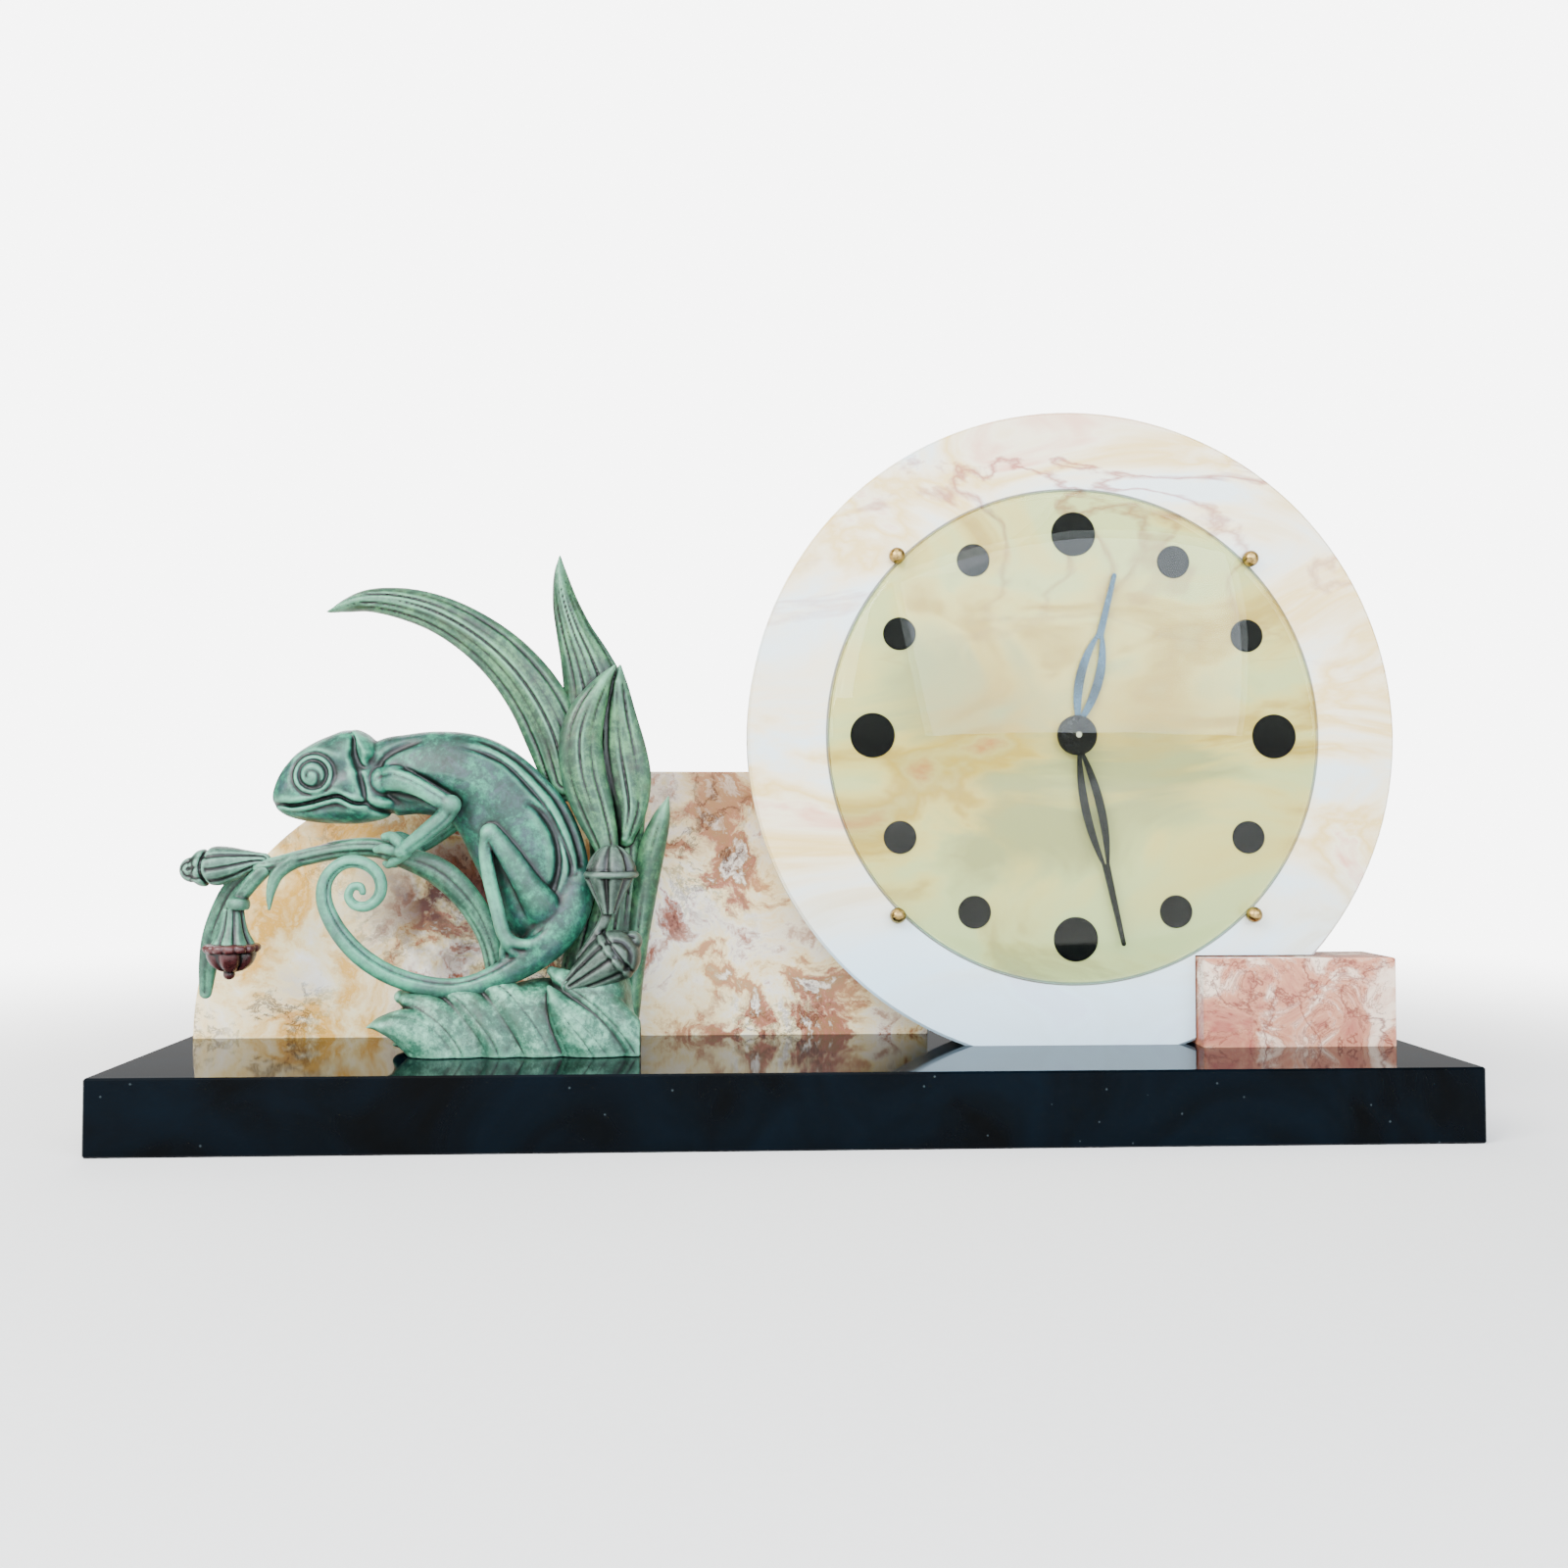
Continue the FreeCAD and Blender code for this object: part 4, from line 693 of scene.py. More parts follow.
black_lacquer, tree, shader = new_finish(
    "black stove enamel on brass", roughness=0.24, specular_ior_level=0.12
)
place = add(tree, "ShaderNodeTexCoord").outputs["Object"]
# Painted highlight: a small bright spot at the cap's centre.
axis_gap = add(
    tree, "ShaderNodeVectorMath", {0: place, 1: (DIAL_CENTRE[0], cap_front, DIAL_CENTRE[2])},
    operation="DISTANCE"
)
highlight_share = add(
    tree, "ShaderNodeMapRange",
    {"Value": axis_gap, "From Min": 0.0011, "From Max": 0.0015, "To Min": 1.0, "To Max": 0.0}
)
chips = add(tree, "ShaderNodeTexNoise", {"Vector": place, "Scale": per_mm(1.4), "Detail": 6.0})
enamel_tone = add(
    tree, "ShaderNodeValToRGB", {"Fac": chips}, stops=((0.5, CAP_BLACK), (0.75, CAP_CHIP))
)
tone = add(
    tree, "ShaderNodeMix", {0: highlight_share, 6: enamel_tone, 7: CAP_HIGHLIGHT}, data_type="RGBA"
)
plug(shader, {"Base Color": tone})
cap_profile = [(cap_radius * out, cap_front + cap_length * back) for out, back in CAP_STEPS]
hub_cap = turned("hub_cap", cap_profile, DIAL_CENTRE, CAP_SEGMENTS, black_lacquer)
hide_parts("hand_cap")
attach(hub_cap, "minute_group")


# ------------------------------------------------------------------ movement
# Behind the dial sits an eight-day movement between two brass plates: brass
# wheels, steel arbors and springs, closed by a pressed brass dust cover.
METAL_HAZE_SIZE = 12.0


def worked_metal(name, low, high, rough, grain_mm, rings=False):
    # A worked metal whose marks are turned rings about the clock's axis, or fine grain.
    finish, tree, shader = new_finish(name, metallic=1.0, roughness=rough)
    place, haze, metal_tone = mottle(tree, METAL_HAZE_SIZE, ((0.35, low), (0.65, high)), Detail=6.0)
    if rings:
        centred = add(
            tree, "ShaderNodeMapping",
            {"Vector": place, "Location": (-DIAL_CENTRE[0], 0.0, -DIAL_CENTRE[2])}
        )
        marks = add(
            tree, "ShaderNodeTexWave",
            {"Vector": centred, "Scale": per_mm(grain_mm) / 6.0, "Distortion": 0.6, "Detail": 2.0},
            wave_type="RINGS", rings_direction="Y"
        )
        height = marks.outputs["Fac"]
    else:
        height = add(
            tree, "ShaderNodeTexNoise", {"Vector": place, "Scale": per_mm(grain_mm), "Detail": 4.0}
        )
    bump = add(tree, "ShaderNodeBump", {"Height": height, "Strength": 0.25, "Distance": 0.00012})
    dull = add(
        tree, "ShaderNodeMapRange",
        {
            "Value": haze, "From Min": 0.3, "From Max": 0.7, "To Min": rough * 0.8,
            "To Max": rough * 1.4
        }
    )
    plug(shader, {"Base Color": metal_tone, "Normal": bump, "Roughness": dull})
    return finish


SLOT_FINISHES = {
    "stud_brass": aged_brass,
    "wheel_brass": worked_metal("cut wheel brass", "#a8843f", "#d6b56c", 0.28, 0.6),
    "plate_brass": worked_metal("brushed plate brass", "#9c7c3e", "#c8a660", 0.34, 0.5),
    "cover_brass": worked_metal(
        "spun brass with old lacquer", "#98793c", "#b99a5c", 0.3, 1.2, rings=True
    ),
    "plain_steel": worked_metal("galvanised steel rod", "#73787a", "#a4a8a8", 0.42, 0.8),
    "screw_steel": worked_metal("polished screw steel", "#6c7378", "#b4b9bb", 0.24, 0.5),
    "spring_steel": worked_metal("blued spring steel", "#1d2c46", "#3c5678", 0.26, 0.6),
    "key_steel": worked_metal("nickel-plated steel", "#9a9a92", "#cbcac2", 0.22, 0.7)
}
for node in nodes.values():
    for place in node.material_slots:
        place.material = SLOT_FINISHES.get(place.material.name, place.material)

# The mainspring is a steel strip coiled in its barrel. Its mesh is merged and
# thinned along the smooth coils.
SPRING_FACES = 150_000
SPRING_MERGE = 1e-6

coil = stand("coiled_mainspring", nodes["mainspring"].data.copy())
shape = bmesh.new()
shape.from_mesh(coil.data)
bmesh.ops.remove_doubles(shape, verts=shape.verts, dist=SPRING_MERGE)
shape.to_mesh(coil.data)
shape.free()
thinned = coil.modifiers.new("thinned", "DECIMATE")
thinned.ratio = min(1.0, SPRING_FACES / len(coil.data.polygons))
depsgraph = bpy.context.evaluated_depsgraph_get()
coil_mesh = bpy.data.meshes.new_from_object(coil.evaluated_get(depsgraph))
coil.modifiers.clear()
coil.data = coil_mesh
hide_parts("mainspring")
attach(coil, "barrel_group")


# ------------------------------------------------------------------ chameleon
# The figure is a hollow casting in spelter, modelled in wax first, with a green
# copper-salt patina brushed over it and rubbed back where hands touch it.
# All of its sizes are millimetres: across, up, and depth with the front negative.
CLAY_GRAIN = 0.6
EMPTY_CLAY = 40.0
CAST_MIDDLE = -3.0


def curve_through(points, closed=False, steps=7):
    # A smooth line through points of any number of values.
    points = np.array(points, float)
    if closed:
        padded = np.vstack([points[-1], points, points[0], points[1]])
    else:
        first = 2 * points[0] - points[1]
        last = 2 * points[-1] - points[-2]
        padded = np.vstack([first, points, last])
    share = np.linspace(0.0, 1.0, steps, endpoint=False)[:, None]
    rows = []
    for a, b, c, d in zip(padded, padded[1:], padded[2:], padded[3:]):
        square = (2 * a - 5 * b + 4 * c - d) * share**2
        cube = (3 * b - a - 3 * c + d) * share**3
        rows.append(0.5 * (2 * b + (c - a) * share + square + cube))
    line = np.vstack(rows)
    return line if closed else np.vstack([line, points[-1]])


def clay(low, high, grain=CLAY_GRAIN):
    # An empty block of modelling space: across, depth, up.
    axes = [np.arange(a, b + grain, grain) for a, b in zip(low, high)]
    field = np.full([len(axis) for axis in axes], EMPTY_CLAY, np.float32)
    return {"axes": axes, "grain": grain, "field": field}


def near(block, points, margin):
    # The part of a block round some points, and its coordinates.
    points = np.array(points, float)
    across, deep, up = block["axes"]
    left = np.searchsorted(across, points[:, 0].min() - margin)
    right = np.searchsorted(across, points[:, 0].max() + margin)
    foot = np.searchsorted(up, points[:, 1].min() - margin)
    top = np.searchsorted(up, points[:, 1].max() + margin)
    part = (slice(left, right), slice(None), slice(foot, top))
    return part, across[left:right][:, None], deep[None, :, None], up[foot:top][None, :]


def beside(line, across, up):
    # Each place's distance to a line, the side it lies on, and the line's values there.
    best = np.full(np.broadcast_shapes(across.shape, up.shape), 1e9)
    side = np.zeros_like(best)
    extra = [np.zeros_like(best) for _ in range(line.shape[1] - 2)]
    for one, two in zip(line, line[1:]):
        run = two[:2] - one[:2]
        length = max(run @ run, 1e-9)
        from_x = across - one[0]
        from_z = up - one[1]
        share = np.clip((from_x * run[0] + from_z * run[1]) / length, 0.0, 1.0)
        gap = (from_x - share * run[0]) ** 2 + (from_z - share * run[1]) ** 2
        closer = gap < best
        best = np.where(closer, gap, best)
        side = np.where(closer, np.sign(run[0] * from_z - run[1] * from_x), side)
        for place, values in enumerate(extra):
            here = one[place + 2] + share * (two[place + 2] - one[place + 2])
            extra[place] = np.where(closer, here, values)
    return np.sqrt(best), side, extra


def inside(outline, across, up):
    # Which places lie within a closed outline.
    within = np.zeros(np.broadcast_shapes(across.shape, up.shape), bool)
    for one, two in zip(outline, np.roll(outline, -1, 0)):
        spans = (one[1] > up) != (two[1] > up)
        rise = two[1] - one[1]
        crossing = one[0] + (up - one[1]) * (two[0] - one[0]) / (rise if rise else 1e-9)
        within ^= spans & (across < crossing)
    return within


def join(block, part, form, soft):
    # Adds a form to the clay with a soft fillet.
    old = block["field"][part]
    share = np.clip(0.5 + 0.5 * (old - form) / max(soft, 1e-3), 0.0, 1.0)
    block["field"][part] = old * (1 - share) + form * share - soft * share * (1 - share)


def pad(block, outline, middle, thick, edge, soft=1.5):
    # A cushion-like mass: an outline, half its thickness, and how far its edge is rounded.
    outline = curve_through(outline, closed=True)
    part, across, deep, up = near(block, outline, 6.0)
    gap, _, _ = beside(np.vstack([outline, outline[:1]]), across, up)
    gap = np.where(inside(outline, across, up), -gap, gap)
    half = (thick(across) if callable(thick) else thick) + 0.0 * gap
    round_in = np.clip((gap + edge) / edge, 0.0, None)[:, None, :]
    half = half[:, None, :]
    form = (np.sqrt(round_in**2 + ((deep - middle) / half) ** 2) - 1.0) * np.minimum(edge, half)
    join(block, part, form, soft)


def limb(block, stations, soft=1.5, grooves=()):
    # A round limb along stations of across, up, radius and depth, with lengthwise
    # grooves: each is a place across it, a depth and a width.
    line = curve_through(stations)
    part, across, deep, up = near(block, line, 14.0)
    gap, side, (radius, middle) = beside(line, across, up)
    share = gap / radius
    form = np.sqrt(share[:, None, :] ** 2 + ((deep - middle[:, None, :]) / radius[:, None, :]) ** 2)
    form = (form - 1.0) * radius[:, None, :]
    for place, depth, width in grooves:
        cut = depth * np.exp(-(((side * share - place) / width) ** 2))
        form = form + cut[:, None, :]
    join(block, part, form, soft)


def blade(block, stations, thick, ribs, rib_depth, soft=0.6, keel=0.0):
    # A leaf along stations of across, up, width and depth. Its lengthwise ribs fade
    # at the edges and the tip, and vary as a hand-held tool's strokes do.
    line = curve_through(stations)
    part, across, deep, up = near(block, line, 16.0)
    gap, side, (width, middle) = beside(line, across, up)
    half = np.maximum(width / 2.0, 0.4)
    share = gap / half
    signed = side * share
    crown = middle + keel * np.abs(signed)
    here = thick * np.clip(half / 4.0, 0.35, 1.0)
    form = np.sqrt(share[:, None, :] ** 2 + ((deep - crown[:, None, :]) / here[:, None, :]) ** 2)
    form = (form - 1.0) * np.minimum(half, here)[:, None, :]
    wave = 1.0 - np.abs(np.cos(math.pi * (ribs * signed / 2.0 + 0.5)))
    fade = np.clip(1.15 - share, 0.0, 1.0) * np.clip(half / 6.0 - 0.2, 0.0, 1.0)
    groove = np.round(ribs * signed / 2.0)
    stroke = 0.62 + 0.38 * np.sin(0.11 * (across + up) + 2.1 * groove)
    form = form + (rib_depth * wave**2.5 * fade * stroke)[:, None, :]
    join(block, part, form, soft)


def ball(block, centre, radius, soft=1.0):
    # A round lump; its centre is across, up and depth.
    part, across, deep, up = near(block, [(centre[0], centre[1])], radius + 6.0)
    form = np.sqrt(
        (across - centre[0])[:, None, :] ** 2
        + (deep - centre[2]) ** 2
        + (up - centre[1])[:, None, :] ** 2
    )
    join(block, part, form - radius, soft)


def score(block, points, width, depth, closed=False, front_of=None):
    # Draws a modelling tool along a line: a positive depth cuts, a negative one raises.
    # An open line fades in and out at its ends; front_of keeps it off the far side.
    line = curve_through(points, closed=closed)
    if closed:
        line = np.vstack([line, line[:1]])
    share = np.linspace(0.0, 1.0, len(line))
    fade = np.ones_like(share)
    if not closed:
        fade = np.clip(np.minimum(share, 1.0 - share) / 0.16, 0.05, 1.0)
    line = np.column_stack([line, fade])
    part, across, deep, up = near(block, line, 4.0 * width)
    gap, _, (strength,) = beside(line, across, up)
    cut = (depth * strength * np.exp(-((gap / width) ** 2)))[:, None, :]
    if front_of is not None:
        cut = cut * np.clip((front_of - deep) / 3.0, 0.0, 1.0)
    block["field"][part] = block["field"][part] + cut


def sampled(field, points):
    # The field's value at points between its grid places.
    size = np.array(field.shape) - 2
    start = np.clip(np.floor(points).astype(int), 0, size)
    share = np.clip(points - start, 0.0, 1.0)
    total = np.zeros(len(points))
    for corner in np.ndindex(2, 2, 2):
        weight = np.prod(np.where(corner, share, 1.0 - share), axis=1)
        at = start + np.array(corner)
        total += weight * field[at[:, 0], at[:, 1], at[:, 2]]
    return total


def smoothed(field, reach):
    # The field's average over a small cube.
    wide = 2 * reach + 1
    for axis in range(3):
        margins = [(reach + 1, reach) if a == axis else (0, 0) for a in range(3)]
        total = np.moveaxis(np.cumsum(np.pad(field, margins, "edge"), axis), axis, 0)
        field = np.moveaxis((total[wide:] - total[:-wide]) / wide, 0, axis)
    return field


def cast(name, block, finish):
    # Turns finished clay into a closed mesh, with its ridges and hollows as an attribute.
    grain = block["grain"]
    field = block["field"].astype(np.float32)
    for axis in range(3):
        edge = [slice(None)] * 3
        for place in (0, -1):
            edge[axis] = place
            field[tuple(edge)] = np.maximum(field[tuple(edge)], grain)
    grid = openvdb.FloatGrid()
    grid.background = EMPTY_CLAY
    grid.copyFromArray(np.ascontiguousarray(field))
    points, quads = grid.convertToQuads(isovalue=0.0)
    soft_field = smoothed(np.clip(field, -6.0, 6.0), 2)
    wide_field = smoothed(np.clip(field, -9.0, 9.0), 5)
    here = sampled(field, points)
    fine = (sampled(soft_field, points) - here) / grain
    broad = (sampled(wide_field, points) - here) / grain
    low = np.array([axis[0] for axis in block["axes"]])
    places = (low + points * grain) / 1000.0
    mesh = bpy.data.meshes.new(name)
    mesh.from_pydata(places.tolist(), [], quads.tolist())
    mesh.update()
    corners = places[quads[:, :3]]
    volume = np.einsum("ij,ij->i", corners[:, 0], np.cross(corners[:, 1], corners[:, 2])).sum()
    if volume < 0:
        mesh.flip_normals()
    for title, values in (("fine_relief", fine), ("broad_relief", broad)):
        data = mesh.attributes.new(title, "FLOAT", "POINT").data
        data.foreach_set("value", values.astype(np.float32))
    mesh.shade_smooth()
    mesh.materials.append(finish)
    return stand(name, mesh)


# Green patina over spelter: dark in the fine hollows, chalky mint on the ridges,
# grey-brown where the metal is rubbed. Broad hollows get a painted shade and
# broad bulges a painted highlight.
PATINA_DEEP = "#06211a"
PATINA_MID = "#0a4033"
PATINA_LIGHT = "#288263"
PATINA_CHALK = "#93dcb9"
PATINA_DARK_AND_SHADE = "#020504"
PATINA_RUBBED = "#33414c"


def patina(name, deep, mid, light, rubbed, rubbed_share, rough=0.42, chalk=PATINA_CHALK):
    finish, tree, shader = new_finish(name, specular_ior_level=0.5, metallic=0.0)
    place = add(tree, "ShaderNodeTexCoord").outputs["Object"]
    # Brushed-on colour: cloudy at 20 mm, stippled at 3 mm.
    brushed = add(
        tree, "ShaderNodeTexNoise",
        {
            "Vector": place, "Scale": per_mm(20.0), "Detail": 9.0, "Roughness": 0.68,
            "Distortion": 0.6
        }
    )
    stipple = add(
        tree, "ShaderNodeTexNoise",
        {"Vector": place, "Scale": per_mm(3.0), "Detail": 6.0, "Roughness": 0.75}
    )
    both = add(tree, "ShaderNodeMix", {0: 0.42, 2: brushed, 3: stipple})
    body_tone = add(
        tree, "ShaderNodeValToRGB", {"Fac": both}, stops=((0.38, deep), (0.49, mid), (0.60, light))
    )
    # Rubbed metal shows grey-brown in patches.
    worn = add(
        tree, "ShaderNodeTexNoise",
        {"Vector": place, "Scale": per_mm(11.0), "Detail": 7.0, "Roughness": 0.7, "Distortion": 0.8}
    )
    worn_share = add(
        tree, "ShaderNodeMapRange",
        {"Value": worn, "From Min": 0.50, "From Max": 0.62, "To Max": rubbed_share}
    )
    rubbed_tone = add(
        tree, "ShaderNodeMix", {0: worn_share, 6: body_tone, 7: rubbed}, data_type="RGBA"
    )
    fine = add(tree, "ShaderNodeAttribute", attribute_name="fine_relief").outputs["Fac"]
    broad = add(tree, "ShaderNodeAttribute", attribute_name="broad_relief").outputs["Fac"]
    # Ridges catch the chalky top coat and broad bulges a painted highlight; fine
    # hollows keep the black first coat and broad hollows get a painted shade.
    ridge_share = add(
        tree, "ShaderNodeMapRange",
        {"Value": fine, "From Min": 0.08, "From Max": 0.42, "To Max": 0.8}
    )
    # Painted highlight: broad bulges are lightened.
    broad_painted_highlight = add(
        tree, "ShaderNodeMapRange",
        {"Value": broad, "From Min": 0.35, "From Max": 1.5, "To Max": 0.75}
    )
    ridge_share = add(tree, "ShaderNodeMath", {0: ridge_share, 1: broad_painted_highlight}, operation="MAXIMUM")
    ridge_patchy = add(tree, "ShaderNodeMath", {0: ridge_share, 1: both}, operation="MULTIPLY")
    ridge_full = add(
        tree, "ShaderNodeMath", {0: ridge_patchy, 1: 1.7}, operation="MULTIPLY", use_clamp=True
    )
    ridged = add(tree, "ShaderNodeMix", {0: ridge_full, 6: rubbed_tone, 7: light}, data_type="RGBA")
    chalked = add(tree, "ShaderNodeMix", {0: 0.35, 6: ridged, 7: chalk}, data_type="RGBA")
    edge_tone = add(
        tree, "ShaderNodeMix", {0: ridge_full, 6: rubbed_tone, 7: chalked}, data_type="RGBA"
    )
    hollow_fine = add(
        tree, "ShaderNodeMapRange",
        {"Value": fine, "From Min": -0.02, "From Max": -0.24, "To Max": 0.97}
    )
    # Painted shade: broad hollows between parts are darkened.
    broad_painted_shade = add(
        tree, "ShaderNodeMapRange",
        {"Value": broad, "From Min": 0.0, "From Max": -0.95, "To Max": 0.95}
    )
    hollow_and_shade = add(tree, "ShaderNodeMath", {0: hollow_fine, 1: broad_painted_shade}, operation="MAXIMUM")
    tone = add(tree, "ShaderNodeMix", {0: hollow_and_shade, 6: edge_tone, 7: PATINA_DARK_AND_SHADE}, data_type="RGBA")
    plug(shader, {"Base Color": tone})
    gloss = add(
        tree, "ShaderNodeMapRange",
        {
            "Value": worn, "From Min": 0.35, "From Max": 0.65, "To Min": rough + 0.12,
            "To Max": rough - 0.1
        }
    )
    plug(shader, {"Roughness": gloss})
    grit = add(
        tree, "ShaderNodeTexNoise",
        {"Vector": place, "Scale": per_mm(1.3), "Detail": 5.0, "Roughness": 0.7}
    )
    bump = add(tree, "ShaderNodeBump", {"Height": grit, "Strength": 0.5, "Distance": 0.0003})
    plug(shader, {"Normal": bump})
    return finish


animal_patina = patina(
    "green patina on spelter, waxed", PATINA_DEEP, PATINA_MID, PATINA_LIGHT, PATINA_RUBBED, 0.5
)


TRUNK = (
    (-186, 164), (-180, 168), (-171.5, 169.5), (-159, 171), (-145, 170.5), (-133, 167.5),
    (-122, 161.5), (-111, 152), (-101, 140.5), (-94.5, 128), (-91, 116), (-90.5, 106), (-93, 94),
    (-99, 84.5), (-107, 78), (-116.5, 77), (-126, 84), (-132.5, 96), (-137.5, 107), (-142.5, 117),
    (-147.5, 127), (-154, 132.5), (-165, 134.5), (-177, 134), (-186, 140), (-190, 152)
)
HEAD = (
    (-227.6, 141), (-226.4, 148), (-222.8, 155), (-217, 161.2), (-210, 166), (-203, 169.2),
    (-196.5, 171.4), (-190, 170.5), (-184.5, 166), (-181, 157), (-177, 147), (-172, 139.5),
    (-177.5, 133.6), (-187, 130.8), (-196, 130.2), (-208.6, 130.8), (-218, 132.4), (-224.6, 135.2)
)
CASQUE = (
    (-193, 171), (-188, 170), (-183.5, 166), (-181, 161), (-183.5, 156.5), (-187.5, 155),
    (-190.5, 161)
)
CASQUE_LINE = ((-191.4, 169.5), (-190.4, 163), (-188, 156.5), (-185, 153))
MOUTH = (
    (-227, 138.6), (-221, 138.6), (-216.5, 138.2), (-209, 139.3), (-202, 141.2), (-197, 142.2),
    (-193.5, 140.8), (-190.5, 139.4), (-186.5, 139), (-184, 140)
)
LOWER_LIP = ((-226, 136), (-219, 135.8), (-209, 136.4), (-201, 138.2), (-195, 138.2), (-188, 136.2))
CHEEK = (
    (-191.5, 166), (-191, 160), (-188.5, 153.5), (-186.5, 146.5), (-184.5, 139), (-179.5, 136),
    (-173, 135.5)
)
CHEEK_BONE = ((-203, 146), (-196, 147), (-191, 150), (-189, 155))
SHOULDER = (
    (-160, 166.4), (-170, 163.6), (-177.6, 158.6), (-180.3, 151.5), (-178, 143.5), (-171, 138.6),
    (-161, 137)
)
CREST_OUTER = (
    (-142, 167.2), (-132, 164.2), (-121.5, 158.2), (-112, 149.4), (-103.5, 139.4), (-97.6, 127.8),
    (-94, 116), (-93.4, 106.5), (-95.8, 95.5), (-101, 86)
)
CREST_INNER = (
    (-146.5, 164.2), (-135, 160.8), (-125.5, 155.8), (-116, 146.6), (-107.5, 136.2),
    (-101.5, 124.8), (-97.6, 114), (-97, 105.5), (-99.5, 96)
)
HIP_LINE = (
    (-117.5, 140), (-112, 137), (-107, 130.5), (-103.6, 122.5), (-102.4, 114), (-103.6, 105.5),
    (-106.5, 99.5), (-110.5, 100.5), (-115, 106.5), (-120, 114)
)
ARM_UNDERCUT = ((-178, 144), (-172, 143), (-164, 141), (-156.5, 137), (-151.5, 133.6))
ARM_TOP = ((-173, 154.4), (-165, 152.6), (-156, 147.8), (-148, 143), (-143.6, 138.6))
BROW = ((-219, 155), (-214, 160), (-206, 162.4), (-198, 160), (-193, 157))
CHEST = ((-184, 138), (-175, 140.5), (-166, 139.4), (-160, 138))
UPPER_ARM = (
    (-178, 149, 6.2, -11), (-171, 149.8, 5.6, -16), (-163, 147, 4.6, -19),
    (-155, 142.6, 4.1, -20.5), (-148.5, 138.6, 4.2, -21)
)
FOREARM = (
    (-147.5, 138.4, 4.2, -21), (-150.5, 133, 4.0, -21), (-157, 127.5, 3.7, -20),
    (-163.5, 122.5, 3.4, -18), (-169.5, 118.5, 3.0, -15.5)
)
HANDS = (
    (
        (-168, 119.5, 2.8, -16), (-171.5, 122.5, 2.6, -14), (-175, 124.8, 2.2, -11),
        (-178.5, 124.6, 1.7, -8)
    ),
    (
        (-168, 118.5, 2.8, -16), (-173, 118.8, 2.5, -14), (-178, 119.5, 2.1, -12.5),
        (-181.5, 119, 1.5, -10)
    ),
    (
        (-168, 117.8, 2.8, -15), (-172.5, 114.6, 2.3, -12), (-176.5, 112.4, 1.8, -9),
        (-178.5, 113, 1.3, -7)
    ),
)
THIGH = (
    (-106, 89, 9.0, -9), (-110, 96, 7.6, -14.5), (-115, 104, 6.0, -17.5),
    (-121.5, 114.5, 4.9, -19.5), (-127.5, 123, 4.1, -20.5), (-130.6, 126.4, 3.9, -20.5)
)
SHIN = (
    (-131, 126, 3.8, -20.5), (-132.6, 118, 3.0, -20), (-131.2, 107, 3.0, -19),
    (-128.4, 95, 3.0, -18), (-125.6, 84, 3.0, -17.5), (-122.5, 79.5, 3.0, -17.5)
)
FEET = (
    (
        (-124, 80.5, 2.8, -17), (-119, 78.6, 2.6, -17.5), (-113, 78.8, 2.3, -18),
        (-106.5, 82.5, 1.6, -17)
    ),
    (
        (-124, 79, 2.6, -17), (-119.5, 74.5, 2.4, -16.5), (-112, 73, 2.1, -16),
        (-104.5, 75.8, 1.4, -15)
    ),
    ((-124, 79, 2.6, -16), (-125.5, 73, 2.2, -14), (-124, 68.5, 1.5, -12)),
)
TAIL = (
    (-95.5, 104, 8.5, -5), (-98.5, 93, 9.5, -7.5), (-105, 82, 9.2, -10.5), (-116, 71.5, 7.2, -12.5),
    (-130, 63.6, 5.2, -13), (-145, 59.4, 4.3, -13), (-160, 60.6, 4.2, -13),
    (-174.5, 65.2, 4.2, -13), (-187, 73.2, 4.1, -13), (-196.3, 83.4, 3.8, -13),
    (-202, 94.4, 3.5, -13), (-202.8, 103.4, 3.2, -13), (-199.4, 110, 3.0, -13),
    (-193, 113.8, 2.9, -13), (-185.2, 112.9, 2.8, -13), (-179.4, 107.4, 2.7, -13),
    (-179, 99.9, 2.6, -13), (-183.6, 95, 2.4, -13), (-189.2, 94.9, 2.2, -13),
    (-192.4, 98.6, 2.0, -13), (-191, 102.8, 1.9, -13), (-187.6, 103.2, 1.8, -13),
    (-186.4, 100.8, 1.6, -13)
)
EYE = (-207.0, 151.5)
EYE_RADIUS = 7.6
EYE_STEPS = 12
SWIRL_STEPS = 10


def trunk_half(across):
    # Half the trunk's thickness: fullest at the flank, thinner to the neck.
    return 13.5 + 3.0 * np.exp(-(((across + 135.0) / 34.0) ** 2))


ANIMAL_GRAIN = 0.7
TAIL_FOOT = 50.0
BODY_FOOT = TAIL_FOOT + 17 * ANIMAL_GRAIN
NEAR_SIDE = CAST_MIDDLE - 36 * ANIMAL_GRAIN
SNOUT_END = -231.0
RUMP_END = -84.0
CASQUE_TOP = 176.0
# Only the near half is modelled: its space ends half a grain short of the middle.
half_clay = clay(
    (SNOUT_END, NEAR_SIDE, BODY_FOOT),
    (RUMP_END, CAST_MIDDLE - ANIMAL_GRAIN / 2.0, CASQUE_TOP),
    ANIMAL_GRAIN
)
pad(half_clay, TRUNK, CAST_MIDDLE, trunk_half, 26.0)
score(half_clay, HIP_LINE, 2.0, 2.6, front_of=-6.0)
score(half_clay, SHOULDER, 1.9, 2.0, front_of=-8.0)
score(half_clay, CHEST, 2.0, 1.2, front_of=-9.0)
score(half_clay, CREST_OUTER, 1.2, 1.6, front_of=-6.0)
score(half_clay, CREST_INNER, 1.1, 1.2, front_of=-6.0)
pad(half_clay, HEAD, CAST_MIDDLE, 13.5, 12.0, soft=1.2)
score(half_clay, CHEEK, 1.5, 2.0)
pad(half_clay, CASQUE, CAST_MIDDLE, 14.0, 6.0, soft=1.4)
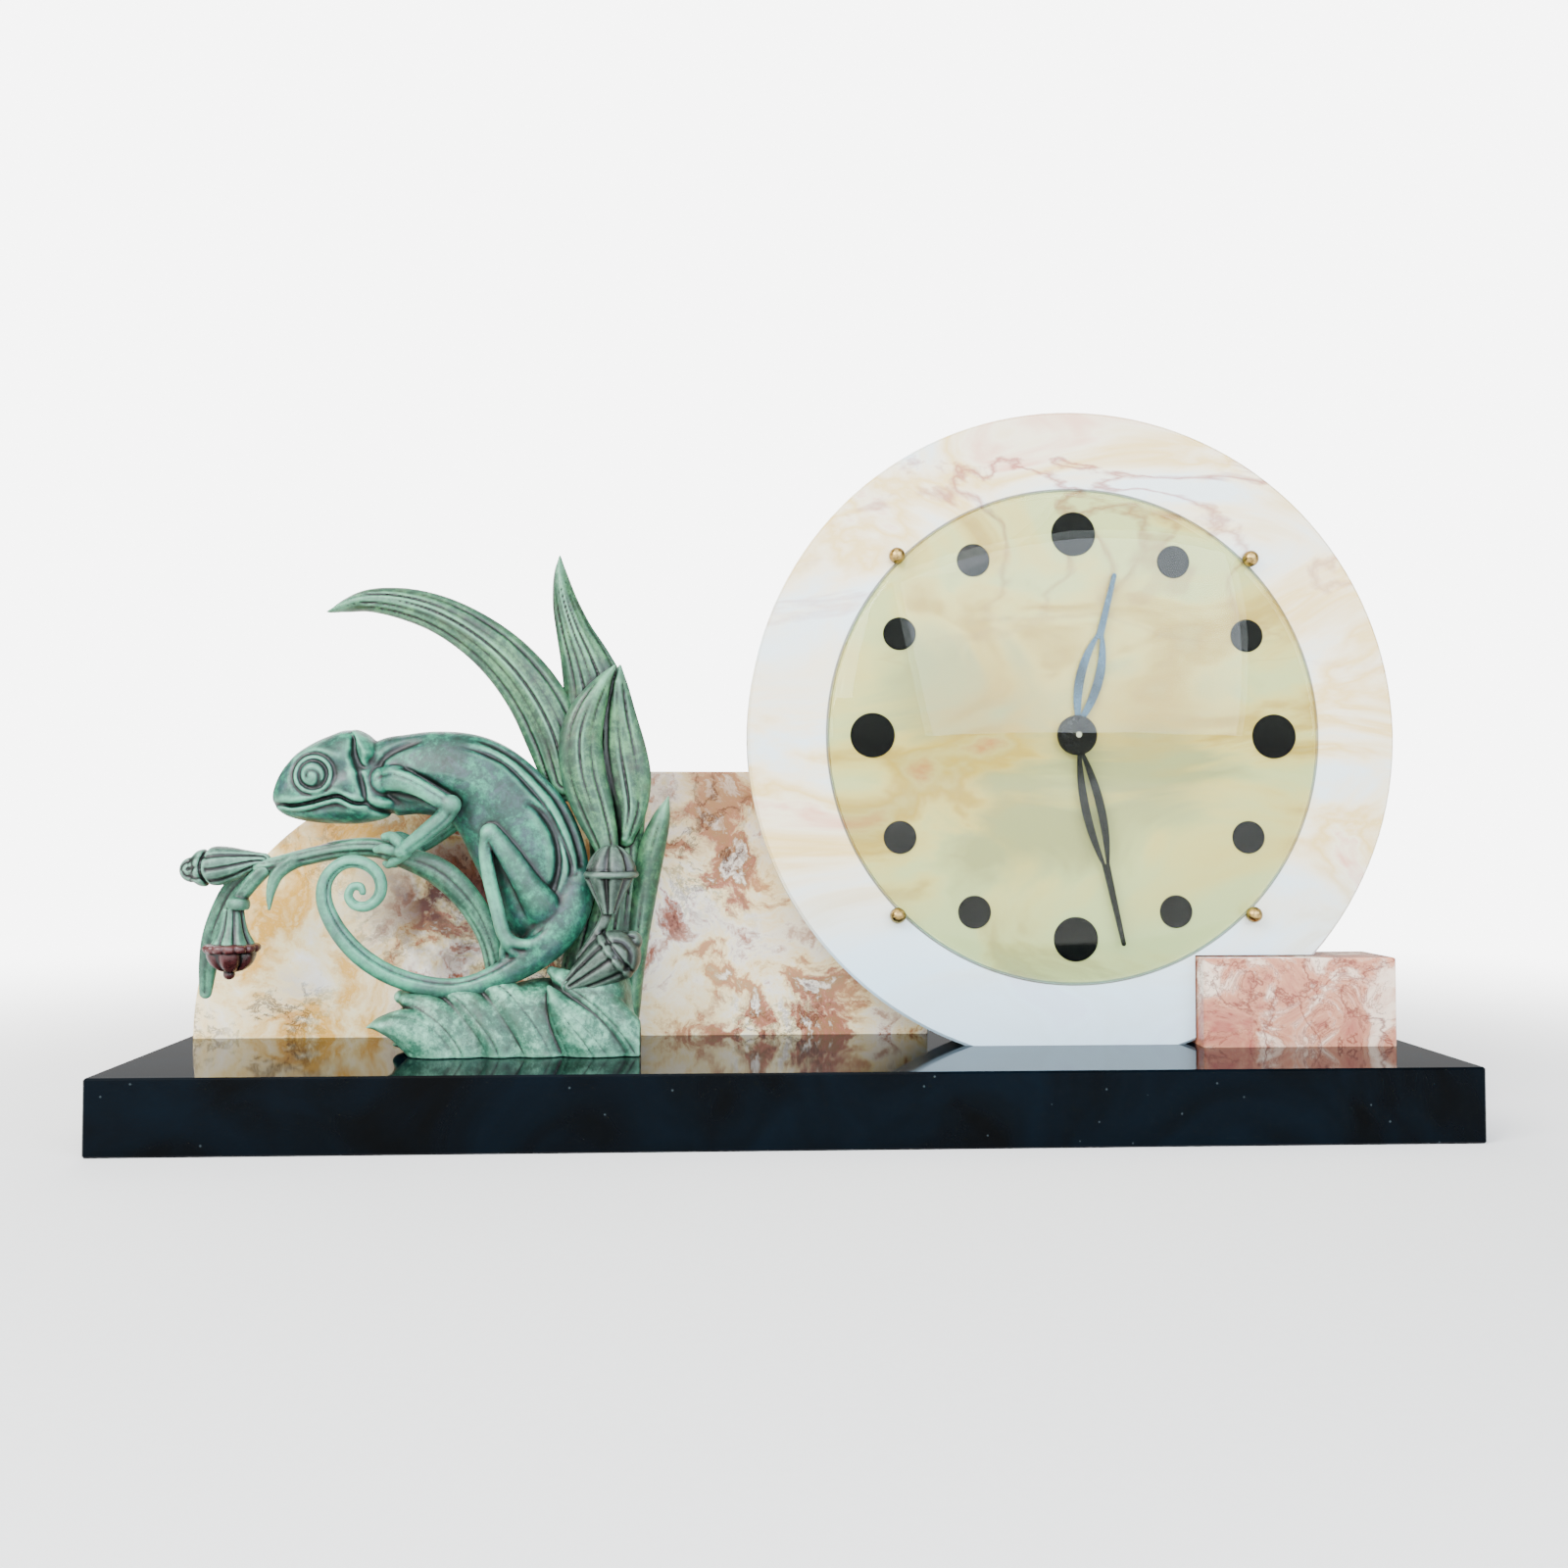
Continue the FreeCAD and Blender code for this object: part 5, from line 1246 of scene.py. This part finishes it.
score(half_clay, CASQUE_LINE, 1.1, 1.4, front_of=-7.0)
score(half_clay, CHEEK_BONE, 3.0, -1.3)
score(half_clay, BROW, 2.2, -0.9)
score(half_clay, MOUTH, 1.0, 3.0)
score(half_clay, [(x, z - 1.9) for x, z in MOUTH[1:]], 1.0, -0.8, front_of=-10.0)
score(half_clay, [(x, z + 2.0) for x, z in MOUTH[1:-1]], 1.0, -0.6, front_of=-10.0)
score(half_clay, LOWER_LIP, 1.6, 0.8)
ball(half_clay, (EYE[0], EYE[1], -12.0), EYE_RADIUS, soft=0.8)
ring = []
for step in range(EYE_STEPS):
    turn = math.tau * step / EYE_STEPS
    ring.append((EYE[0] + EYE_RADIUS * math.cos(turn), EYE[1] + EYE_RADIUS * math.sin(turn)))


def ring_by(scale):
    # The eye's rim, made larger or smaller about its centre.
    return [(EYE[0] + (x - EYE[0]) * scale, EYE[1] + (z - EYE[1]) * scale) for x, z in ring]


score(half_clay, ring, 0.9, -1.1, closed=True, front_of=-9.0)
score(half_clay, ring_by(0.76), 0.8, 0.55, closed=True)
score(half_clay, ring_by(1.22), 0.9, 0.6, closed=True, front_of=-9.0)
swirl = []
for step in range(SWIRL_STEPS):
    reach = 1.4 + 0.30 * step
    turn = -2.2 - step * 0.62
    swirl.append((EYE[0] - 0.4 + reach * math.cos(turn), EYE[1] - 1.0 + reach * math.sin(turn)))
score(half_clay, swirl, 0.7, 0.8)
limb(half_clay, UPPER_ARM, soft=0.5, grooves=((0.25, 0.6, 0.16),))
score(half_clay, ARM_UNDERCUT, 1.1, 2.0, front_of=-10.0)
score(half_clay, ARM_TOP, 1.0, 0.9, front_of=-10.0)
limb(half_clay, FOREARM, soft=0.8, grooves=((0.5, 0.5, 0.16),))
ball(half_clay, (-147.4, 138.2, -21.4), 4.3, soft=1.0)
for finger in HANDS:
    limb(half_clay, finger, soft=0.4)
limb(half_clay, THIGH, soft=0.9)
ball(half_clay, (-131.0, 126.2, -20.6), 4.0, soft=0.8)
limb(half_clay, SHIN, soft=0.4, grooves=((0.2, 0.4, 0.16),))
for toe in FEET:
    limb(half_clay, toe, soft=0.6)
# The far side mirrors the near one.
whole = np.concatenate([half_clay["field"], half_clay["field"][:, :-1][:, ::-1]], axis=1)
deep = half_clay["axes"][1]
half_clay["axes"][1] = np.concatenate([deep, deep[-1] + ANIMAL_GRAIN * np.arange(1, len(deep))])
half_clay["field"] = whole
animal_clay = clay(
    (SNOUT_END, NEAR_SIDE, TAIL_FOOT),
    (RUMP_END, half_clay["axes"][1][-1], CASQUE_TOP),
    ANIMAL_GRAIN
)
limb(animal_clay, TAIL, soft=0.5, grooves=((-0.55, 0.6, 0.16),))
shift = int(round((BODY_FOOT - TAIL_FOOT) / ANIMAL_GRAIN))
part = (
    slice(0, half_clay["field"].shape[0]), slice(0, half_clay["field"].shape[1]),
    slice(shift, shift + half_clay["field"].shape[2])
)
room = animal_clay["field"][part].shape
join(animal_clay, part, half_clay["field"][: room[0], : room[1], : room[2]], 1.6)

chameleon = cast("chameleon", animal_clay, animal_patina)
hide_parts("chameleon_body", "chameleon_tail")
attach(chameleon, "root")


# ------------------------------------------------------------------ branch and flowers
# The animal grips a bent twig that rises out of the leaves behind its tail. At
# its end are a ribbed seed head, a hanging flower and a drooping leaf.
plant_patina = patina(
    "green patina on spelter, dry", "#081e15", "#143d2d", "#3d7a5b", "#2e3328", 0.5, rough=0.42
)
wine_patina = patina(
    "wine-brown patina on spelter", "#120405", "#260a0c", "#42191a", "#0e0708", 0.5, rough=0.3,
    chalk="#6b3f3c"
)

STEM = (
    (-122, 34, 6.5, -4), (-126, 46, 5.2, -3), (-130, 61, 4.5, -2), (-135, 80, 4.1, -2),
    (-145.5, 96.5, 4.0, -2), (-158, 108, 4.2, -2), (-172, 115.5, 4.6, -2), (-183, 119.6, 4.4, -2),
    (-198, 119.2, 4.2, -2), (-213, 116.2, 4.0, -2), (-224, 113.2, 3.6, -2), (-234, 111.5, 3.0, -2)
)
PRONG = (
    (-219, 114, 3.4, -3), (-225.5, 108.5, 3.0, -4), (-228.4, 100.5, 2.0, -4), (-229, 93, 0.7, -4)
)
BELLY_LEAF = (
    (-179, 116, 2.5, -5), (-168, 115, 8.5, -5), (-156, 110, 11, -4), (-146, 101.5, 11, -4),
    (-137.5, 90, 9.5, -3), (-132, 76, 7, -3), (-128, 60, 5, -3)
)
twig_clay = clay((-242.0, -16.0, 31.5), (-112.0, 10.0, 130.0))
limb(twig_clay, STEM, soft=0.4, grooves=((0.35, 0.5, 0.14), (-0.4, 0.45, 0.12)))
limb(twig_clay, PRONG, soft=1.2, grooves=((0.0, 0.4, 0.2),))
blade(twig_clay, BELLY_LEAF, 3.2, ribs=2, rib_depth=0.9)
score(twig_clay, ((-240, 114.5), (-226, 117.4), (-212, 120.2), (-196, 122.6)), 0.7, 0.7)
twig = cast("twig", twig_clay, plant_patina)
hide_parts("branch")
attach(twig, "root")


def turned_clay(block, stations, centre, along, lobes=0, lobe_depth=0.0, soft=0.5, phase=0.0):
    # A turned or lobed form: stations are a height along its axis and a radius.
    across, deep, up = block["axes"]
    across = across[:, None, None]
    deep = deep[None, :, None]
    up = up[None, None, :]
    line = curve_through(stations)
    if along == "up":
        height = up
        first = across - centre[0]
        second = deep - centre[1]
    else:
        height = across
        first = up - centre[0]
        second = deep - centre[1]
    radius = np.interp(height, line[:, 0], line[:, 1])
    reach = np.sqrt(first**2 + second**2)
    if lobes:
        turn = np.arctan2(second, first)
        radius = radius * (1.0 - lobe_depth * np.abs(np.sin(lobes * turn / 2.0 + phase)) ** 6)
    form = (reach - radius) * 0.85
    form = np.maximum(form, line[0, 0] - height)
    form = np.maximum(form, height - line[-1, 0])
    join(block, (slice(None), slice(None), slice(None)), form, soft)


bud_clay = clay((-268.0, -14.0, 98.0), (-228.0, 10.0, 127.0), 0.45)
limb(
    bud_clay,
    (
        (-255.5, 111.4, 8.2, -2), (-251, 112, 8.6, -2), (-245, 113, 7.2, -2),
        (-239.5, 114, 5.0, -2), (-235, 114.6, 3.4, -2), (-232, 114.6, 2.8, -2)
    ),
    soft=0.3, grooves=((-0.72, 0.7, 0.10), (-0.15, 0.9, 0.11), (0.5, 0.9, 0.11))
)
limb(
    bud_clay, ((-262.6, 110.2, 5.6, -2), (-260, 110.5, 7.6, -2), (-257.6, 110.9, 8.3, -2)),
    soft=0.3, grooves=((-0.5, 0.9, 0.12), (0.1, 0.9, 0.12), (0.65, 0.8, 0.12))
)
score(bud_clay, ((-255.6, 122), (-257.4, 111), (-254.6, 101)), 0.9, 1.8)
score(bud_clay, ((-261.5, 115.5), (-260.6, 111), (-261.5, 106.5)), 1.0, 0.8, front_of=-5.0)
bud = cast(
    "seed_head", bud_clay,
    patina("grey patina on spelter", "#0f1b15", "#243d31", "#587a69", "#1f1d1b", 0.6)
)
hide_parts("flower_bud")
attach(bud, "root")

flower_clay = clay((-262.0, -17.0, 71.0), (-229.0, 13.0, 114.0), 0.5)
limb(
    flower_clay,
    ((-232, 110, 3.2, -2), (-236.5, 105.5, 3.4, -2), (-240, 101, 3.2, -2), (-243, 97, 3.0, -2)),
    soft=0.5, grooves=((0.0, 0.4, 0.3),)
)
turned_clay(
    flower_clay, ((92.6, 4.4), (94.6, 5.0), (96.8, 4.6), (98.4, 3.0)), (-243.0, -2.0), "up",
    soft=0.6
)
turned_clay(
    flower_clay, ((75.2, 10.2), (78, 9.2), (83, 6.6), (88, 5.2), (93.2, 4.4)), (-245.0, -2.0), "up",
    lobes=8, lobe_depth=0.16, soft=0.4
)
flower = cast("hanging_bell", flower_clay, plant_patina)
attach(flower, "root")

cup_clay = clay((-262.0, -17.0, 59.0), (-229.0, 13.0, 80.0), 0.45)
turned_clay(
    cup_clay, ((74.2, 11.0), (75.4, 12.0), (77.2, 11.6), (78, 9.4)), (-245.5, -2.0), "up", lobes=14,
    lobe_depth=0.06, soft=0.3
)
turned_clay(
    cup_clay, ((65.6, 2.6), (66.4, 5.4), (69, 8.6), (72, 10.2), (75, 10.6)), (-245.5, -2.0), "up",
    lobes=5, lobe_depth=0.2, soft=0.4, phase=0.3
)
ball(cup_clay, (-246.5, 64.6, -2.0), 2.5, soft=0.5)
cup = cast("flower_cup", cup_clay, wine_patina)
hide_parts("hanging_flower")
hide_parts("hanging_flower")
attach(cup, "root")

droop_clay = clay((-268.0, 0.0, 52.0), (-226.0, 14.0, 118.0), 0.5)
blade(
    droop_clay,
    (
        (-231, 112.5, 3, 5), (-240, 108.5, 8, 6), (-247.5, 101.5, 10, 7), (-253, 92, 10, 8),
        (-257.2, 80, 9.4, 8), (-259, 68, 8.2, 8), (-260, 55.5, 5.5, 8)
    ),
    3.2, ribs=2, rib_depth=0.8, keel=-0.8
)
droop = cast("drooping_blade", droop_clay, plant_patina)
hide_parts("drooping_leaf")
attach(droop, "root")


# ------------------------------------------------------------------ tall leaves
# Four sword-like leaves rise behind the animal, cast in one with the foot, with
# lengthwise veins drawn into the wax. One arches over to the left.
leaf_patina = patina(
    "green patina on spelter, leaves", "#081d11", "#173d26", "#46774b", "#333824", 0.5, rough=0.4
)

arch_clay = clay((-210.0, -12.0, 140.0), (-92.0, 16.0, 240.0))
blade(
    arch_clay,
    (
        (-207, 224.6, 0.8, 2), (-199, 227.6, 6, 2), (-188, 230, 10.5, 2), (-173, 228.6, 14.5, 2),
        (-157, 223.6, 17.5, 2), (-141, 214.4, 20.5, 2), (-127, 202.4, 23.5, 2), (-115, 187, 26, 2),
        (-106, 169, 27, 2), (-101, 150, 22, 2)
    ),
    5.2, ribs=6, rib_depth=1.7, keel=1.8
)
arch_leaf = cast("arching_blade", arch_clay, leaf_patina)
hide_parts("arching_leaf")
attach(arch_leaf, "root")

tall_clay = clay((-114.0, -16.0, 32.0), (-58.0, 14.0, 253.0))
blade(
    tall_clay,
    (
        (-104.6, 251, 0.8, 4), (-104.4, 243, 6, 4), (-102.2, 230, 11.5, 4), (-98, 216.5, 16.5, 4),
        (-92.8, 203, 23, 4), (-88.6, 189, 29, 4), (-86.4, 172, 34, 4), (-84.8, 156, 36, 4),
        (-81.6, 141, 34, 4), (-79, 125, 25, 4), (-79.6, 105, 24, 4), (-83, 85, 29, 4),
        (-87, 60, 34, 4), (-85, 34, 28, 4)
    ),
    5.4, ribs=7, rib_depth=1.6, keel=1.6
)
blade(
    tall_clay,
    (
        (-77, 201, 1.2, -1), (-77.8, 192, 9, -1), (-77.8, 178, 17, -1), (-76.4, 163, 23, -1),
        (-74, 149, 23, -1), (-72.6, 137, 16, -1), (-74.5, 124, 8, -1)
    ),
    4.6, ribs=4, rib_depth=1.5, soft=0.3, keel=1.2
)
blade(
    tall_clay,
    (
        (-79.0, 200.6, 1.0, -5), (-84.6, 192, 8.5, -6), (-90.6, 180, 16, -7),
        (-93.8, 167, 19.5, -7), (-92.6, 152, 20.5, -7), (-88.4, 138, 18.5, -7),
        (-83.5, 124, 13, -7), (-81, 114, 8, -7)
    ),
    4.6, ribs=4, rib_depth=1.3, soft=0.3, keel=1.4
)
tall_blade = cast("tall_blade", tall_clay, leaf_patina)
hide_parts("tall_leaf")
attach(tall_blade, "root")

side_clay = clay((-84.0, -8.0, 40.0), (-50.0, 16.0, 145.0))
blade(
    side_clay,
    (
        (-55.4, 142.4, 0.8, 1), (-58.5, 133, 8, 1), (-62.5, 120, 12, 2), (-65.6, 105, 12.5, 3),
        (-68, 88, 11, 3), (-70, 68, 9, 3), (-72, 45, 8, 3)
    ),
    4.6, ribs=2, rib_depth=1.2, keel=1.2
)
side_blade = cast("side_blade", side_clay, leaf_patina)
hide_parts("side_leaf")
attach(side_blade, "root")


# ------------------------------------------------------------------ seed pods
# Two ribbed pods, like acorns in their cups, stand where the leaves part. They
# are rubbed down to a grey-brown.
pod_patina = patina(
    "grey-brown rubbed spelter", "#0c110e", "#1e2822", "#46564b", "#1c1815", 0.7, rough=0.34,
    chalk="#7fa08d"
)

pod_clay = clay((-105.0, -32.0, 52.0), (-63.0, 0.0, 124.0), 0.5)
turned_clay(
    pod_clay, ((108.6, 11.0), (112, 10.6), (116, 8.6), (119, 5.8), (121, 2.6)), (-79.4, -15.0),
    "up", lobes=6, lobe_depth=0.2, soft=0.3, phase=0.5
)
turned_clay(pod_clay, ((106.8, 10.8), (108, 12.0), (109.6, 11.4)), (-79.4, -15.0), "up", soft=0.3)
turned_clay(
    pod_clay, ((91, 3.2), (95, 4.8), (101, 7.8), (107, 10.8)), (-80.4, -15.0), "up", lobes=6,
    lobe_depth=0.3, soft=0.3, phase=0.2
)
limb(
    pod_clay,
    ((-80.5, 95, 2.6, -14), (-82.5, 88, 2.4, -14), (-87, 80, 2.4, -14), (-92, 72, 2.6, -14)),
    soft=0.5
)
limb(
    pod_clay,
    (
        (-77.5, 73.2, 11.2, -16), (-81, 71, 10.6, -16), (-86, 67.6, 8.8, -16),
        (-91.5, 64, 6.6, -16), (-97, 60.4, 3.8, -16)
    ),
    soft=0.3, grooves=((-0.6, 1.1, 0.10), (0.0, 1.1, 0.10), (0.62, 1.1, 0.10))
)
limb(
    pod_clay, ((-70.4, 79.4, 4.6, -16), (-72.5, 77.4, 8.0, -16), (-75, 75.4, 10.4, -16)), soft=0.3,
    grooves=((-0.5, 0.8, 0.12), (0.15, 0.8, 0.12))
)
score(pod_clay, ((-85.8, 83.5), (-79.4, 74.8), (-70.2, 63)), 0.9, -1.2)
score(pod_clay, ((-84, 85.2), (-77.2, 76.4), (-68.4, 64.8)), 0.8, 1.0)
pods = cast("seed_cups", pod_clay, pod_patina)
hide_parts("seed_pods")
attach(pods, "root")


# ------------------------------------------------------------------ foot leaves
# The casting's foot is a clump of broad leaves that fan out over the slab and
# hide the bolts that hold it.
foot_patina = patina(
    "pale green patina on spelter", "#103226", "#2a604a", "#6daa8c", "#303c2a", 0.4, rough=0.46
)

SLAB_TOP = 31.05
FOOT = (
    (-172, 32.5), (-174, 38), (-177, 45), (-171, 50), (-163, 54.5), (-153, 55), (-143, 56),
    (-132, 58), (-122, 60), (-112, 62), (-103, 62), (-94, 66), (-84, 68), (-74, 66), (-70.8, 52),
    (-71.6, 32.5), (-96, 31.6), (-140, 31.6)
)
foot_clay = clay((-186.0, -31.0, 30.4), (-66.0, 26.0, 72.0))
pad(foot_clay, FOOT, -1.0, 19.0, 9.0)
blade(
    foot_clay,
    (
        (-182.6, 43.6, 0.8, -19), (-176, 44.6, 8, -19.5), (-167, 43.4, 16, -20),
        (-158.5, 38.5, 20, -20.5), (-151, 30, 22, -21)
    ),
    6.2, ribs=3, rib_depth=0.7, soft=0.6, keel=1.2
)
LOBES = (
    ((-171, 55, 6), (-161, 51.5, 13), (-151, 45, 16), (-143, 36, 17), (-139, 27, 17)),
    ((-154, 60, 6), (-144, 54.5, 14), (-135, 46, 17), (-128, 37, 18), (-124, 27, 18)),
    ((-138, 62, 6), (-128, 57, 15), (-119, 47, 19), (-112, 37, 20), (-107, 27, 20))
)
LOBE_DEPTHS = (-8.0, -13.5, -17.5, -20.0, -21.0)
for lobe in LOBES:
    blade(
        foot_clay, [(x, z, width, depth) for (x, z, width), depth in zip(lobe, LOBE_DEPTHS)], 5.6,
        ribs=4, rib_depth=0.7, soft=1.8, keel=1.0
    )
blade(
    foot_clay,
    (
        (-106, 66, 4, -9), (-97, 60, 13, -14), (-85, 52, 17, -17.5), (-75, 42, 18, -19),
        (-68, 32, 18, -19.5)
    ),
    5.4, ribs=4, rib_depth=0.8, soft=0.6, keel=1.4
)
blade(
    foot_clay,
    (
        (-105.6, 60, 2.0, -20), (-102, 54, 10, -20.5), (-96.5, 46, 19, -21), (-90, 38, 26, -21.5),
        (-84, 29, 30, -21.5)
    ),
    5.6, ribs=6, rib_depth=0.7, soft=0.4, keel=1.6
)
# The foot is filed flat where it stands on the slab.
below_slab = SLAB_TOP - foot_clay["axes"][2][None, None, :]
foot_clay["field"] = np.maximum(foot_clay["field"], below_slab).astype(np.float32)
foot = cast("foot_leaves", foot_clay, foot_patina)
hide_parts("foot_foliage")
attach(foot, "root")


# ------------------------------------------------------------------ stage
# A pale table top and soft studio light.
FLOOR_SIZE = 6.0
FLOOR_WHITE = "#f3f2ef"
FLOOR_GREY = "#f1f0ed"
BACKDROP = 7.0

paper, tree, shader = new_finish("matt pale paper", roughness=0.9, specular_ior_level=0.1)
place, _, tone = mottle(tree, 3.0, ((0.3, FLOOR_GREY), (0.7, FLOOR_WHITE)), Detail=3.0)
plug(shader, {"Base Color": tone})
# Away from the object the paper sweeps up into the lit backdrop.
reach = add(tree, "ShaderNodeVectorMath", {0: place}, operation="LENGTH")
sweep = add(
    tree, "ShaderNodeMapRange", {"Value": reach, "From Min": 0.30, "From Max": 1.1},
    interpolation_type="SMOOTHSTEP"
)
seen = add(tree, "ShaderNodeLightPath")
swept = add(
    tree, "ShaderNodeMath", {0: sweep, 1: seen.outputs["Is Camera Ray"]}, operation="MULTIPLY"
)
glow = add(tree, "ShaderNodeEmission", {"Strength": BACKDROP})
blended = add(tree, "ShaderNodeMixShader", {0: swept, 1: shader, 2: glow})
plug(tree.nodes["Material Output"], {"Surface": blended})

half = FLOOR_SIZE / 2.0
floor_mesh = bpy.data.meshes.new("table_top")
floor_mesh.from_pydata(
    [(-half, -half, 0.0), (half, -half, 0.0), (half, half, 0.0), (-half, half, 0.0)], [],
    [(0, 1, 2, 3)]
)
floor_mesh.materials.append(paper)
table_top = stand("table_top", floor_mesh)

world = bpy.data.worlds.new("studio")
world.use_nodes = True
sky = world.node_tree.nodes["Background"]
sky.inputs["Color"].default_value = (1.0, 1.0, 1.0, 1.0)
# The lit backdrop looks nearly white while the air fills the shadows softly.
seen = add(world.node_tree, "ShaderNodeLightPath")
sky_strength = add(
    world.node_tree, "ShaderNodeMapRange",
    {"Value": seen.outputs["Is Camera Ray"], "To Min": 0.55, "To Max": BACKDROP}
)
plug(sky, {"Strength": sky_strength})
bpy.context.scene.world = world


def softbox(name, place, aim, size, power, tint="#ffffff"):
    # A rectangular studio light that faces a point.
    lamp = bpy.data.lights.new(name, "AREA")
    lamp.shape = "RECTANGLE"
    lamp.size = size[0]
    lamp.size_y = size[1]
    lamp.energy = power
    lamp.color = colour(tint)[:3]
    made = stand(name, lamp)
    made.location = place
    away = [p - a for p, a in zip(place, aim)]
    length = math.sqrt(sum(v * v for v in away))
    turn = math.atan2(away[0], -away[1])
    made.rotation_euler = (math.acos(away[2] / length), 0.0, turn)


softbox("window_softbox", (0.48, -1.31, 0.80), (0.1275, 0.0, 0.17), (2.1, 1.15), 58.0, "#e6f0ff")
softbox("left_softbox", (-1.0, -0.9, 0.85), (-0.12, 0.0, 0.12), (0.8, 0.8), 34.0)

softbox("rear_softbox", (-0.35, 1.25, 0.85), (0.0, 0.0, 0.12), (1.5, 0.9), 22.0)

high_sun = bpy.data.lights.new("ceiling_light", "SUN")
high_sun.energy = 1.9
high_sun.angle = math.radians(50.0)
ceiling = stand("ceiling_light", high_sun)
ceiling.rotation_euler = (math.radians(28.0), 0.0, math.radians(-25.0))
